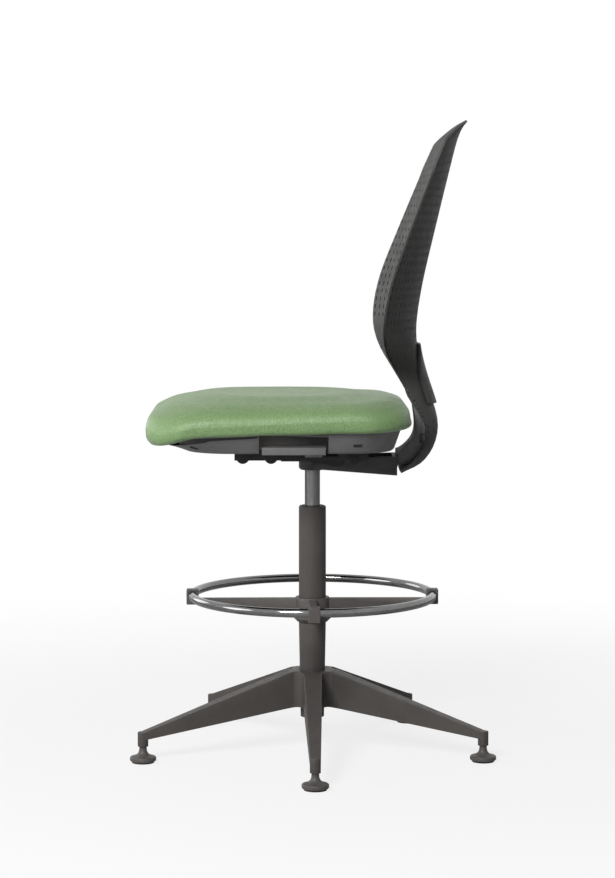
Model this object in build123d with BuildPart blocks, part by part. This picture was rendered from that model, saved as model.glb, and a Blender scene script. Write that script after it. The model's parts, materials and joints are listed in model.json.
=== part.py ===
from build123d import *
import os
from math import asin, atan2, cos, hypot, radians, sin, tan

# A tall office stool: padded seat, perforated back, gas lift, foot ring and a base on glides.
# Millimetres, +Z up. The origin is on the floor, on the column's axis.
# The sitter faces -Y, and the sitter's left side is +X.

# Fits between pieces
press_gap = 0.05
running_gap = 0.08
seat_gap = 0.2
moving_gap = 0.3
lever_room = 1.0
screw_hole_room = 1.0
# How far a cutting shape runs past what it cuts
overcut = 1.0
# Two places closer than this are the same
same_place = 0.01

# Five-legged base
leg_count = 5
foot_circle_radius = 325.0
hub_radius = 40.0
hub_bottom = 87.0
hub_height = 65.0
hub_flat_radius = 46.0
leg_root_width = 34.0
leg_tip_width = 19.2
leg_tip_top = 56.0
leg_tip_depth = 14.0
leg_wall = 5.0
leg_crotch_radius = 14.0
leg_edge_round = 1.6
leg_web_radius = 82.0
leg_web_drop = 2.0
socket_depth = 20.0

# Glides
glide_height = 30.0
glide_radius = 23.9
glide_neck_radius = 6.8
glide_rim = 6.0
glide_rim_chamfer = 1.5
glide_shoulder_radius = 20.4
glide_shoulder_height = 11.5
glide_shoulder_round = 4.0
glide_shoulder_rise = 0.22
glide_neck_length = 4.0
sole_radius = 20.0
sole_thickness = 3.0
sole_spigot_radius = 14.0
sole_spigot = 2.0
stem_radius = 4.8
stem_foot_engagement = 18.0

# Column and gas lift
column_radius = 25.0
column_bottom = 65.0
column_top = 458.0
column_wall = 2.0
column_floor = 6.0
column_lip = 4.0
column_lip_reach = 4.5
column_lip_round = 3.2
taper_start = 240.0
taper_slope = 0.019
bush_length = 80.0
bush_recess = 1.0
cylinder_radius = 14.0
cylinder_wall = 1.5
cylinder_visible = 66.0
cylinder_hidden = 258.0
cylinder_cap = 6.0
socket_length = 28.0
socket_taper = 0.03
lift_up = 130.0
rod_radius = 5.0
rod_tip_radius = 4.0
piston_height = 12.0
piston_clearance = 4.0
washer_thickness = 2.0
washer_radius = 15.0
ball_radius = 2.0
ball_count = 9
ball_circle_radius = 10.5
cage_thickness = 2.0
bump_stop_height = 12.0
bump_stop_radius = 13.0
clip_thickness = 1.2
clip_radius = 8.0
clip_groove = 1.0
rod_tail = 4.0
valve_radius = 3.4
valve_length = 18.0

# Foot ring
ring_radius = 221.4
ring_tube_radius = 8.0
ring_tube_wall = 1.5
ring_height = 291.6
ring_arm_count = 4
ring_hub_radius = 31.0
ring_hub_length = 34.0
ring_hub_rise = 2.0
ring_collet_wall = 2.0
ring_arm_root_height = 24.0
ring_arm_tip_height = 12.0
ring_arm_drop = 5.6
ring_arm_root_width = 15.0
ring_arm_tip_width = 10.0
ring_arm_overlap = 1.2
clip_width = 21.0
clip_wall = 3.0
clip_below = 8.5
clip_round = 2.1
lock_nut_height = 11.0
lock_nut_radius = 34.0
lock_nut_slope = 6.0

# Recline mechanism, with heights set from the top of the seat frame
frame_rise = 47.0
frame_top = column_top + cylinder_visible + frame_rise
frame_thickness = 3.5
frame_half_width = 88.0
frame_front = -142.0
frame_rear = 100.0
skirt_thickness = 4.0
skirt_depth = 18.5
boss_radius = 12.0
boss_drop = 16.0
boss_length = 9.0
boss_proud = 1.0
boss_places = (-127.0, -76.0)
rear_boss_radius = 8.0
rear_boss_place = 75.0
skirt_slot_front = -30.0
skirt_slot_rear = 45.0
housing_half_width = 27.0
housing_front = -58.0
housing_rear = 62.0
housing_depth = 26.0
housing_wall = 4.0
neck_radius = 25.0
neck_round = 6.0
boss_inner_radius = 19.0
flange_reach = 13.0
flange_length = 16.0
flange_thickness = 4.5
screw_radius = 3.0
screw_head_radius = 5.0
screw_head_height = 4.0
pivot_place = 45.0
pivot_drop = 25.0
pivot_radius = 6.0
pivot_boss_radius = 11.0
pivot_bush_wall = 1.5
pivot_bush_length = 19.0
pivot_bush_proud = 1.0
pivot_shaft_end = 2.0

# Paddle levers, one on each side
lever_pin_offset = 64.0
lever_pin_radius = 3.0
lever_drop = 12.0
lever_thickness = 3.0
lever_half_width = 15.0
lever_barrel_radius = 5.5
lever_angle = 4.0
lever_pin_end = 1.0
lever_window_play = 4.0
lever_bend_reach = 30.0
lug_thickness = 4.0
lug_width = 16.0
paddle_front = -92.0
paddle_rear = 20.0
paddle_outer = 214.0
paddle_depth = 27.0
paddle_drop = 1.0
paddle_face = 13.0
paddle_slope = 3.0
valve_tip_reach = 8.0
brake_travel = 1.2
brake_half_length = 11.0
brake_radius = 12.0
brake_thickness = 6.0
brake_land = 2.0
brake_bevel_slope = 1.4

# Recline arm and its springs
arm_half_width = 44.0
arm_gap = 30.0
arm_front = 2.0
arm_rear = 154.0
arm_rear_drop = 54.0
arm_rear_depth = 35.0
arm_front_drop = 42.0
arm_front_depth = 11.0
arm_web = 5.0
arm_wall = 8.0
arm_end_wall = 8.0
arm_bridge = 96.0
fork_rise = 1.0
arm_shoulder = 3.0
arm_boss_wall = 7.0
spring_place = 24.0
spring_radius = 5.0
spring_wire = 1.1
spring_turns = 5
spring_samples = 240
arm_screw_spacing = 44.0
arm_screw_length = 20.0

# Seat: the seam between shell and cushion falls towards the front
seat_front = -272.0
seat_rear = 157.0
seat_half_width = 226.0
shell_depth_front = 17.0
shell_depth_rear = 40.0
shell_draft_front = 52.0
shell_draft_rear = 14.0
shell_draft_side = 26.0
shell_wall = 3.0
shell_ledge = 14.0
shell_ledge_thickness = 4.0
shell_corner = 80.0
shell_bottom_round = 9.0
pocket_wall = 2.5
pocket_play = 5.0
post_radius = 9.0
seat_screw_side = 48.0
seat_screw_front = -112.0
seat_screw_rear = 82.0
board_thickness = 10.0
board_inset = 5.0
# Cushion: how far it swells past the shell's rim
cushion_corner = 88.0
cushion_lip = 6.0
cushion_swell_front = 35.0
cushion_swell_rear = 22.0
cushion_swell_side = 17.0
cushion_swell_height = 17.0
# Inset from the swell, and height above the seam at the front and at the rear, of each level over it
cushion_levels = (
    (17.0, 50.0, 44.0),
    (56.0, 71.5, 57.0),
    (95.0, 79.5, 65.0),
    (135.0, 81.0, 68.0),
)

# Back shell, from the lower end of the neck to the top
shell_thickness = 4.0
neck_bend_y = 140.0
neck_bend_rise = 34.0
neck_bend_radius = 91.0
neck_start_angle = -76.0
neck_end_angle = -3.0
neck_steps = 3
neck_half_width = 52.0
neck_sag = 15.0
neck_top_sag = 24.0
back_rise = 592.0
top_corner_start = 83.0
top_half_width = 174.0
top_corner_side = 0.72
top_corner_drop = 0.28
# Height over the seat frame, distance behind the column, half width and depth of the hollow at each station
back_rows = (
    (77.0, 222.0, 54.0, 36.0),
    (104.0, 213.4, 56.0, 44.0),
    (129.0, 205.0, 64.0, 50.5),
    (157.0, 197.2, 100.0, 59.0),
    (186.0, 191.6, 165.0, 65.5),
    (224.0, 190.2, 225.0, 69.5),
    (279.0, 197.6, 240.0, 70.0),
    (369.0, 217.2, 223.0, 59.0),
    (459.0, 238.7, 189.0, 44.5),
    (534.0, 257.0, 166.0, 32.0),
    (569.0, 267.4, 158.0, 27.0),
    (595.0, 288.0, 152.0, 24.0),
)
vent_columns = 12
vent_rows = 13
vent_row_pitch = 30.0
vent_low_rise = 165.0
vent_length = 16.5
vent_width = 9.0
vent_width_share = 0.4
vent_top_share = 0.45
vent_margin = 14.0
cover_stations = 5
cover_half_width = 38.0
cover_thickness = 6.5
carrier_stations = 3
carrier_half_width = 36.0
carrier_depth_low = 34.0
carrier_depth_bend = 28.0
carrier_depth_high = 6.0
slot_length = 20.0
slot_width = 9.0
slot_depth = 6.0
slot_angle = -19.0
back_screw_radius = 2.0
back_screw_head_radius = 4.0
back_screw_spacing = 30.0
back_screw_length = 12.0
back_screw_station = 1
back_screw_head = 2.0

upright = (Align.CENTER, Align.CENTER, Align.MIN)
downward = (Align.CENTER, Align.CENTER, Align.MAX)
os.makedirs("parts", exist_ok=True)


def save(piece, name):
    piece.part.label = name
    export_step(piece.part, f"parts/{name}.step")


def ring(inner, outer, low, high):
    """A plain ring round the column's axis."""
    with Locations((0, 0, low)):
        Cylinder(outer, high - low, align=upright)
        Cylinder(inner, high - low, align=upright, mode=Mode.SUBTRACT)


def bore(radius, low, high):
    """A hole along the column's axis."""
    with Locations((0, 0, low)):
        Cylinder(radius, high - low, align=upright, mode=Mode.SUBTRACT)


def turned(points, mode=Mode.ADD):
    """A piece turned round the column's axis from its half section."""
    with BuildSketch(Plane.XZ) as half:
        Polygon(*points, align=None)
    revolve(half.sketch, axis=Axis.Z, mode=mode)


def side_plate(points, low, high, mode=Mode.ADD):
    """A plate drawn from the side (y, z) and running from x = low to x = high."""
    with BuildSketch(Plane.YZ.offset(low)) as outline:
        Polygon(*points, align=None)
    extrude(outline.sketch, amount=high - low, mode=mode)


def cross_rod(radius, y, z, low, high, mode=Mode.ADD):
    """A round bar or hole along X."""
    with Locations(Location((low, y, z), (0, 90, 0))):
        Cylinder(radius, high - low, align=upright, mode=mode)


def block(x_low, x_high, y_low, y_high, z_low, z_high, mode=Mode.ADD):
    with Locations((x_low, y_low, z_low)):
        corner = (Align.MIN, Align.MIN, Align.MIN)
        Box(x_high - x_low, y_high - y_low, z_high - z_low, align=corner, mode=mode)


# Star base: the plan of the legs cut by their turned side view
hub_top = hub_bottom + hub_height
leg_angles = [360 * number / leg_count for number in range(leg_count)]
tip_radius = leg_tip_width / 2


def leg_width_at(reach):
    share = (reach - hub_radius) / (foot_circle_radius - hub_radius)
    return leg_root_width + (leg_tip_width - leg_root_width) * share


def leg_top_at(reach):
    share = (reach - hub_flat_radius) / (foot_circle_radius - hub_flat_radius)
    return hub_top + (leg_tip_top - hub_top) * share


def column_radius_at(height):
    return column_radius - max(0, taper_start - height) * taper_slope


hollow_start = hub_radius + leg_crotch_radius
hollow_end = foot_circle_radius - tip_radius - leg_wall
with BuildPart() as leg_hollows:
    with BuildSketch(Plane.XY.offset(leg_tip_top - leg_tip_depth - leg_wall)):
        with PolarLocations(0, leg_count):
            start_half = leg_width_at(hollow_start) / 2 - leg_wall
            end_half = leg_width_at(hollow_end) / 2 - leg_wall
            Polygon(
                (hollow_start, -start_half),
                (hollow_end, -end_half),
                (hollow_end, end_half),
                (hollow_start, start_half),
                align=None,
            )
    extrude(amount=hub_top)
    turned(
        [
            (hollow_start - leg_wall, 0),
            (hollow_end + leg_wall, 0),
            (hollow_end + leg_wall, leg_top_at(hollow_end + leg_wall) - leg_wall),
            (hollow_start - leg_wall, leg_top_at(hollow_start - leg_wall) - leg_wall),
        ],
        mode=Mode.INTERSECT,
    )

def leg_low_at(reach):
    share = (reach - hub_radius) / (foot_circle_radius - hub_radius)
    return hub_bottom + (leg_tip_top - leg_tip_depth - hub_bottom) * share


with BuildPart() as leg:
    with BuildSketch(Plane.XZ) as side_view:
        Polygon(
            (0, hub_bottom),
            (hub_radius, hub_bottom),
            (foot_circle_radius, leg_low_at(foot_circle_radius)),
            (foot_circle_radius, leg_tip_top),
            (0, leg_top_at(0)),
            align=None,
        )
    extrude(side_view.sketch, amount=leg_root_width, both=True)
    with BuildSketch(Plane.XY) as leg_plan:
        root_half = leg_width_at(0) / 2
        Polygon(
            (0, -root_half),
            (foot_circle_radius, -tip_radius),
            (foot_circle_radius, tip_radius),
            (0, root_half),
            align=None,
        )
    extrude(leg_plan.sketch, amount=leg_top_at(0), mode=Mode.INTERSECT)
    leg_top = leg.faces().filter_by(lambda face: face.normal_at().Z > 0)[0]
    fillet(leg_top.edges().filter_by(lambda edge: edge.length > foot_circle_radius / 2), leg_edge_round)

with BuildPart() as leg_end:
    with Locations((foot_circle_radius, 0, glide_height)):
        Cylinder(tip_radius, leg_tip_top - glide_height, align=upright)
    fillet(leg_end.edges().filter_by(GeomType.CIRCLE).sort_by(Axis.Z)[-1], leg_edge_round)

socket_top = glide_height + socket_depth
with BuildPart() as star_base:
    with BuildSketch(Plane.XY) as web_plan:
        Circle(hub_radius)
        with PolarLocations(0, leg_count):
            web_half = leg_width_at(leg_web_radius) / 2
            Polygon(
                (0, -root_half),
                (leg_web_radius, -web_half),
                (leg_web_radius, web_half),
                (0, root_half),
                align=None,
            )
        on_hub = lambda corner: abs(hypot(corner.X, corner.Y) - hub_radius) < same_place
        fillet(web_plan.vertices().filter_by(on_hub), leg_crotch_radius)
    extrude(web_plan.sketch, amount=hub_top)
    turned(
        [
            (0, hub_bottom),
            (hub_radius, hub_bottom),
            (2 * leg_web_radius, leg_low_at(2 * leg_web_radius) + leg_web_drop),
            (2 * leg_web_radius, leg_top_at(2 * leg_web_radius) - leg_web_drop),
            (hub_radius, hub_top),
            (0, hub_top),
        ],
        mode=Mode.INTERSECT,
    )
    with PolarLocations(0, leg_count):
        add(leg.part)
        add(leg_end.part)
    above_hub = leg_top_at(0) - hub_top
    with Locations((0, 0, hub_top)):
        Cylinder(2 * hub_radius, above_hub, align=upright, mode=Mode.SUBTRACT)
    add(leg_hollows.part, mode=Mode.SUBTRACT)
    with PolarLocations(foot_circle_radius, leg_count):
        with Locations((0, 0, glide_height)):
            Cylinder(stem_radius + press_gap, socket_depth, align=upright, mode=Mode.SUBTRACT)
    turned(
        [
            (0, hub_bottom),
            (column_radius_at(hub_bottom) + press_gap, hub_bottom),
            (column_radius_at(hub_top) + press_gap, hub_top),
            (0, hub_top),
        ],
        mode=Mode.SUBTRACT,
    )
save(star_base, "star_base")

# Glides: a sole on the floor, a flared foot and a steel stem, under each leg's end
sole_top = sole_thickness + sole_spigot
stem_bottom = glide_height - stem_foot_engagement
rim_low = sole_thickness
for number, angle in enumerate(leg_angles, 1):
    foot_x = foot_circle_radius * cos(radians(angle))
    foot_y = foot_circle_radius * sin(radians(angle))
    foot_plane = Plane(origin=(foot_x, foot_y, 0), x_dir=(1, 0, 0), z_dir=(0, -1, 0))
    foot_axis = Axis((foot_x, foot_y, 0), (0, 0, 1))

    with BuildPart() as glide_sole:
        with Locations((foot_x, foot_y, 0)):
            Cylinder(sole_radius, sole_thickness, align=upright)
            Cylinder(sole_spigot_radius, sole_top, align=upright)
    save(glide_sole, f"glide_sole_{number}")

    with BuildPart() as glide_foot:
        with BuildSketch(foot_plane):
            with BuildLine():
                rim_corner = (glide_radius, rim_low + glide_rim_chamfer)
                rim_high = (glide_radius, rim_low + glide_rim)
                shoulder = (glide_shoulder_radius, glide_shoulder_height)
                neck_foot = (glide_neck_radius, glide_height - glide_neck_length)
                Polyline((0, rim_low), (glide_radius - glide_rim_chamfer, rim_low), rim_corner, rim_high)
                RadiusArc(rim_high, shoulder, -glide_shoulder_round)
                Spline(shoulder, neck_foot, tangents=((-1, glide_shoulder_rise), (0, 1)))
                Polyline(neck_foot, (glide_neck_radius, glide_height), (0, glide_height), (0, rim_low))
            make_face()
        revolve(axis=foot_axis)
        with Locations((foot_x, foot_y, rim_low)):
            Cylinder(sole_spigot_radius + press_gap, sole_spigot, align=upright, mode=Mode.SUBTRACT)
        with Locations((foot_x, foot_y, stem_bottom)):
            Cylinder(stem_radius + press_gap, stem_foot_engagement, align=upright, mode=Mode.SUBTRACT)
    save(glide_foot, f"glide_foot_{number}")

    with BuildPart() as glide_stem:
        with Locations((foot_x, foot_y, stem_bottom)):
            Cylinder(stem_radius, socket_top - stem_bottom, align=upright)
    save(glide_stem, f"glide_stem_{number}")

# Column: a tube tapered into the hub, with a floor for the bearing and a rolled lip
floor_top = column_bottom + column_floor
lip_low = column_top - column_lip
lip_radius = column_radius - column_lip_reach
with BuildPart() as column_tube:
    turned(
        [
            (0, column_bottom),
            (column_radius_at(column_bottom), column_bottom),
            (column_radius, taper_start),
            (column_radius, column_top),
            (0, column_top),
        ]
    )
    rolled = column_tube.edges().filter_by(GeomType.CIRCLE).sort_by(Axis.Z)[-1]
    fillet(rolled, column_lip_round)
    turned(
        [
            (0, floor_top),
            (column_radius_at(floor_top) - column_wall, floor_top),
            (column_radius - column_wall, taper_start),
            (column_radius - column_wall, lip_low),
            (lip_radius, lip_low),
            (lip_radius, column_top),
            (0, column_top),
        ],
        mode=Mode.SUBTRACT,
    )
    bore(rod_tip_radius + moving_gap, column_bottom, floor_top)
save(column_tube, "column_tube")

with BuildPart() as guide_bush:
    bush_bore = cylinder_radius + running_gap
    ring(bush_bore, column_radius - column_wall - press_gap, lip_low - bush_length, lip_low)
    ring(bush_bore, lip_radius - press_gap, lip_low, column_top - bush_recess)
save(guide_bush, "guide_bush")

# Thrust bearing on the column's floor
lower_washer_top = floor_top + washer_thickness
upper_washer_low = lower_washer_top + 2 * ball_radius + 2 * press_gap
upper_washer_top = upper_washer_low + washer_thickness
ball_height = (lower_washer_top + upper_washer_low) / 2
with BuildPart() as bearing_lower_washer:
    ring(rod_radius + moving_gap, washer_radius, floor_top, lower_washer_top)
save(bearing_lower_washer, "bearing_lower_washer")

with BuildPart() as bearing_upper_washer:
    ring(rod_tip_radius + press_gap, washer_radius, upper_washer_low, upper_washer_top)
save(bearing_upper_washer, "bearing_upper_washer")

with BuildPart() as bearing_balls:
    with Locations((0, 0, ball_height)):
        with PolarLocations(ball_circle_radius, ball_count):
            Sphere(ball_radius)
save(bearing_balls, "bearing_balls")

with BuildPart() as bearing_cage:
    cage_low = ball_height - cage_thickness / 2
    ring(rod_radius + moving_gap, washer_radius - moving_gap, cage_low, cage_low + cage_thickness)
    with Locations((0, 0, ball_height)):
        with PolarLocations(ball_circle_radius, ball_count):
            Sphere(ball_radius + running_gap, mode=Mode.SUBTRACT)
save(bearing_cage, "bearing_cage")

# Piston rod: stands on the upper washer and is clipped below the column's floor
cylinder_bottom = column_top - cylinder_hidden
neck_low = column_top + cylinder_visible
cylinder_top = neck_low + socket_length
piston_low = cylinder_bottom + cylinder_cap + lift_up + piston_clearance
piston_high = piston_low + piston_height
clip_washer_top = column_bottom - press_gap
clip_top = clip_washer_top - washer_thickness - press_gap
clip_low = clip_top - clip_thickness
with BuildPart() as piston_rod:
    with Locations((0, 0, clip_low - rod_tail)):
        Cylinder(rod_tip_radius, upper_washer_top - clip_low + rod_tail, align=upright)
    with Locations((0, 0, upper_washer_top)):
        Cylinder(rod_radius, piston_high - upper_washer_top, align=upright)
    with Locations((0, 0, clip_low)):
        Cylinder(rod_tip_radius, clip_thickness, align=upright, mode=Mode.SUBTRACT)
        Cylinder(rod_tip_radius - clip_groove, clip_thickness, align=upright)
save(piston_rod, "piston_rod")

with BuildPart() as retaining_clip:
    ring(rod_tip_radius - clip_groove + press_gap, clip_radius, clip_low + press_gap, clip_top - press_gap)
    block(0, clip_radius, -rod_tip_radius / 2, rod_tip_radius / 2, clip_low, clip_top, mode=Mode.SUBTRACT)
save(retaining_clip, "retaining_clip")

with BuildPart() as clip_washer:
    ring(rod_tip_radius + press_gap, clip_radius + washer_thickness, clip_top, clip_washer_top)
save(clip_washer, "clip_washer")

with BuildPart() as piston_head:
    ring(rod_radius + press_gap, cylinder_radius - cylinder_wall - running_gap, piston_low, piston_high)
save(piston_head, "piston_head")

with BuildPart() as bump_stop:
    ring(rod_radius + press_gap, bump_stop_radius, upper_washer_top, upper_washer_top + bump_stop_height)
    bump_edges = bump_stop.edges().filter_by(GeomType.CIRCLE).group_by(Axis.Z)[-1].sort_by(SortBy.LENGTH)
    fillet(bump_edges[-1], bump_stop_height / 4)
save(bump_stop, "bump_stop")

# Gas cylinder: straight in the bush, tapered into the mechanism's socket
cylinder_tip_radius = cylinder_radius - socket_length * socket_taper
chamber_top = cylinder_top - valve_length
with BuildPart() as gas_cylinder:
    turned(
        [
            (0, cylinder_bottom),
            (cylinder_radius, cylinder_bottom),
            (cylinder_radius, neck_low),
            (cylinder_tip_radius, cylinder_top),
            (0, cylinder_top),
        ]
    )
    bore(cylinder_radius - cylinder_wall, cylinder_bottom + cylinder_cap, chamber_top)
    bore(rod_radius + running_gap, cylinder_bottom, cylinder_bottom + cylinder_cap)
    bore(valve_radius + running_gap, chamber_top, cylinder_top)
save(gas_cylinder, "gas_cylinder")

# Lever heights: the height lever's strip lies just above the valve button
frame_low = frame_top - frame_thickness
lever_z = frame_top - lever_drop
strip_low = lever_z - lever_thickness / 2
strip_high = lever_z + lever_thickness / 2
valve_top = strip_low - moving_gap
valve_travel = radians(lever_angle) * lever_pin_offset
with BuildPart() as valve_button:
    valve_low = chamber_top + valve_travel + lever_room
    with Locations((0, 0, valve_low)):
        Cylinder(valve_radius, valve_top - valve_low, align=upright)
save(valve_button, "valve_button")

# Foot ring: tube, hub with four arms, collet, clips and lock nut
ring_arm_top = ring_height - ring_arm_drop
ring_hub_top = ring_arm_top + ring_hub_rise
ring_hub_bottom = ring_hub_top - ring_hub_length
collet_inner = column_radius + running_gap
collet_outer = collet_inner + ring_collet_wall
nut_low = ring_hub_bottom - moving_gap - lock_nut_height
clip_low_z = ring_height - ring_tube_radius - clip_below
clip_high_z = ring_height + ring_tube_radius + clip_wall
clip_outer = ring_radius + ring_tube_radius + clip_wall
with BuildPart() as ring_tube:
    with BuildSketch(Plane.XZ):
        with Locations((ring_radius, ring_height)):
            Circle(ring_tube_radius)
            Circle(ring_tube_radius - ring_tube_wall, mode=Mode.SUBTRACT)
    revolve(axis=Axis.Z)
save(ring_tube, "ring_tube")

saddle_inner = ring_radius - ring_tube_radius - clip_wall
ring_arm_start = ring_hub_radius - ring_arm_overlap
with BuildPart() as ring_hub:
    ring(collet_outer + press_gap, ring_hub_radius, ring_hub_bottom, ring_hub_top)
    for quarter in range(ring_arm_count):
        turn = 360 * quarter / ring_arm_count
        along = (cos(radians(turn)), sin(radians(turn)), 0)
        arm_root = Plane(
            origin=(ring_arm_start * along[0], ring_arm_start * along[1], ring_arm_top),
            x_dir=(-along[1], along[0], 0),
            z_dir=along,
        )
        arm_tip = Plane(
            origin=(saddle_inner * along[0], saddle_inner * along[1], ring_arm_top),
            x_dir=(-along[1], along[0], 0),
            z_dir=along,
        )
        with BuildSketch(arm_root):
            Rectangle(ring_arm_root_width, ring_arm_root_height, align=(Align.CENTER, Align.MAX))
        with BuildSketch(arm_tip):
            Rectangle(ring_arm_tip_width, ring_arm_tip_height, align=(Align.CENTER, Align.MAX))
        loft()
        with Locations(arm_tip.location):
            saddle_depth = ring_radius - saddle_inner
            saddle_height = clip_high_z - clip_low_z
            with Locations((0, clip_high_z - ring_arm_top, 0)):
                Box(clip_width, saddle_height, saddle_depth, align=(Align.CENTER, Align.MAX, Align.MIN))
    with Locations((0, 0, ring_height)):
        Torus(ring_radius, ring_tube_radius + seat_gap, mode=Mode.SUBTRACT)
save(ring_hub, "ring_hub")

with BuildPart() as ring_collet:
    ring(collet_inner, collet_outer, ring_hub_bottom - lock_nut_height, ring_hub_top)
    for slit in range(ring_arm_count):
        slit_turn = 360 * (slit + 0.5) / ring_arm_count
        with Locations(Location((0, 0, ring_hub_bottom - lock_nut_height), (0, 0, slit_turn))):
            slit_size = (collet_outer + overcut, ring_collet_wall, lock_nut_height + ring_collet_wall)
            Box(*slit_size, align=(Align.MIN, Align.CENTER, Align.MIN), mode=Mode.SUBTRACT)
save(ring_collet, "ring_collet")

for number in range(ring_arm_count):
    turn = 360 * number / ring_arm_count
    with BuildPart() as ring_clip:
        with Locations(Location((0, 0, clip_low_z), (0, 0, turn))):
            with Locations((ring_radius + seat_gap, 0, 0)):
                clip_size = (clip_outer - ring_radius - seat_gap, clip_width, clip_high_z - clip_low_z)
                Box(*clip_size, align=(Align.MIN, Align.CENTER, Align.MIN))
        on_outside = lambda edge: hypot(edge.center().X, edge.center().Y) > clip_outer - same_place
        fillet(ring_clip.edges().filter_by(on_outside), clip_round)
        with Locations((0, 0, ring_height)):
            Torus(ring_radius, ring_tube_radius + seat_gap, mode=Mode.SUBTRACT)
    save(ring_clip, f"ring_clip_{number + 1}")

with BuildPart() as ring_lock_nut:
    turned(
        [
            (collet_outer + moving_gap, nut_low),
            (lock_nut_radius - lock_nut_slope, nut_low),
            (lock_nut_radius, nut_low + lock_nut_slope),
            (lock_nut_radius, ring_hub_bottom - moving_gap),
            (collet_outer + moving_gap, ring_hub_bottom - moving_gap),
        ]
    )
save(ring_lock_nut, "ring_lock_nut")

# Mechanism housing: a cast tray with the conical socket, hung under the seat frame
housing_low = frame_low - housing_depth
pivot_z = frame_top - pivot_drop
tray_floor = housing_low + housing_wall
window_half = lever_half_width + lever_window_play
flange_places = (housing_front + flange_length / 2, housing_rear - flange_length / 2)
flange_screw_x = housing_half_width + flange_reach / 2
with BuildPart() as mech_housing:
    block(-housing_half_width, housing_half_width, housing_front, housing_rear, housing_low, frame_low)
    tray_x = (housing_wall - housing_half_width, housing_half_width - housing_wall)
    tray_y = (housing_front + housing_wall, housing_rear - housing_wall)
    block(*tray_x, *tray_y, tray_floor, frame_low, Mode.SUBTRACT)
    with Locations((0, 0, neck_low)):
        Cylinder(neck_radius, tray_floor - neck_low, align=upright)
    neck_edges = mech_housing.edges().filter_by(GeomType.CIRCLE).sort_by(Axis.Z)[0]
    fillet(neck_edges, neck_round)
    with Locations((0, 0, tray_floor)):
        Cylinder(boss_inner_radius, cylinder_top - tray_floor, align=upright)
    cross_rod(pivot_boss_radius, pivot_place, pivot_z, -housing_half_width, housing_half_width)
    cross_rod(
        pivot_radius + pivot_bush_wall + press_gap,
        pivot_place,
        pivot_z,
        -housing_half_width,
        housing_half_width,
        Mode.SUBTRACT,
    )
    window_low = strip_low - valve_travel - lever_room
    window_x = (-housing_half_width, housing_half_width)
    block(*window_x, -window_half, window_half, window_low, frame_low, Mode.SUBTRACT)
    for side in (-1, 1):
        for place in flange_places:
            with Locations((side * flange_screw_x, place, frame_low)):
                Box(
                    flange_reach,
                    flange_length,
                    flange_thickness,
                    align=(Align.CENTER, Align.CENTER, Align.MAX),
                )
                Cylinder(
                    screw_radius + press_gap,
                    flange_thickness,
                    align=(Align.CENTER, Align.CENTER, Align.MAX),
                    mode=Mode.SUBTRACT,
                )
    turned(
        [
            (0, neck_low),
            (cylinder_radius + press_gap, neck_low),
            (cylinder_tip_radius + press_gap, cylinder_top),
            (0, cylinder_top),
        ],
        mode=Mode.SUBTRACT,
    )
save(mech_housing, "mech_housing")

with BuildPart() as housing_screws:
    for side in (-1, 1):
        for place in flange_places:
            with Locations((side * flange_screw_x, place, frame_low - flange_thickness - screw_head_height)):
                Cylinder(screw_head_radius, screw_head_height, align=upright)
                shank = screw_head_height + flange_thickness + frame_thickness
                Cylinder(screw_radius, shank, align=upright)
save(housing_screws, "housing_screws")

# Seat frame: a pressed plate with skirts, bosses, lever windows and lugs
lug_half = lever_half_width + moving_gap
skirt_low = frame_low - skirt_depth
seat_screw_places = [
    (side * seat_screw_side, place) for side in (-1, 1) for place in (seat_screw_front, seat_screw_rear)
]
strip_swing = tan(radians(lever_angle)) * (frame_half_width - lever_pin_offset)
with BuildPart() as seat_frame:
    block(-frame_half_width, frame_half_width, frame_front, frame_rear, frame_low, frame_top)
    for side in (-1, 1):
        skirt = sorted((side * frame_half_width, side * (frame_half_width - skirt_thickness)))
        block(*skirt, frame_front, frame_rear, skirt_low, frame_low)
        boss_end = frame_half_width + boss_proud
        boss = sorted((side * boss_end, side * (boss_end - boss_length)))
        for place in boss_places:
            cross_rod(boss_radius, place, frame_top - boss_drop, *boss)
        cross_rod(rear_boss_radius, rear_boss_place, skirt_low, *boss)
        window = sorted((side * boss_end, side * (frame_half_width - boss_length)))
        window_bottom = strip_low - moving_gap - lever_room
        window_top = strip_high + strip_swing + moving_gap
        block(*window, skirt_slot_front, skirt_slot_rear, window_bottom, window_top, Mode.SUBTRACT)
        for end in (-1, 1):
            lug_y = sorted((end * lug_half, end * (lug_half + lug_thickness)))
            lug_x = (side * lever_pin_offset - lug_width / 2, side * lever_pin_offset + lug_width / 2)
            block(*lug_x, *lug_y, lever_z - lug_width / 2, frame_low)
        with Locations(Location((side * lever_pin_offset, 0, lever_z), (90, 0, 0))):
            Cylinder(lever_pin_radius + press_gap, 2 * (lug_half + lug_thickness), mode=Mode.SUBTRACT)
        for place in flange_places:
            with Locations((side * flange_screw_x, place, frame_low)):
                Cylinder(screw_radius + press_gap, frame_thickness, align=upright, mode=Mode.SUBTRACT)
    for place in seat_screw_places:
        with Locations((*place, frame_low)):
            Cylinder(screw_radius + press_gap, frame_thickness, align=upright, mode=Mode.SUBTRACT)
save(seat_frame, "seat_frame")

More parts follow.
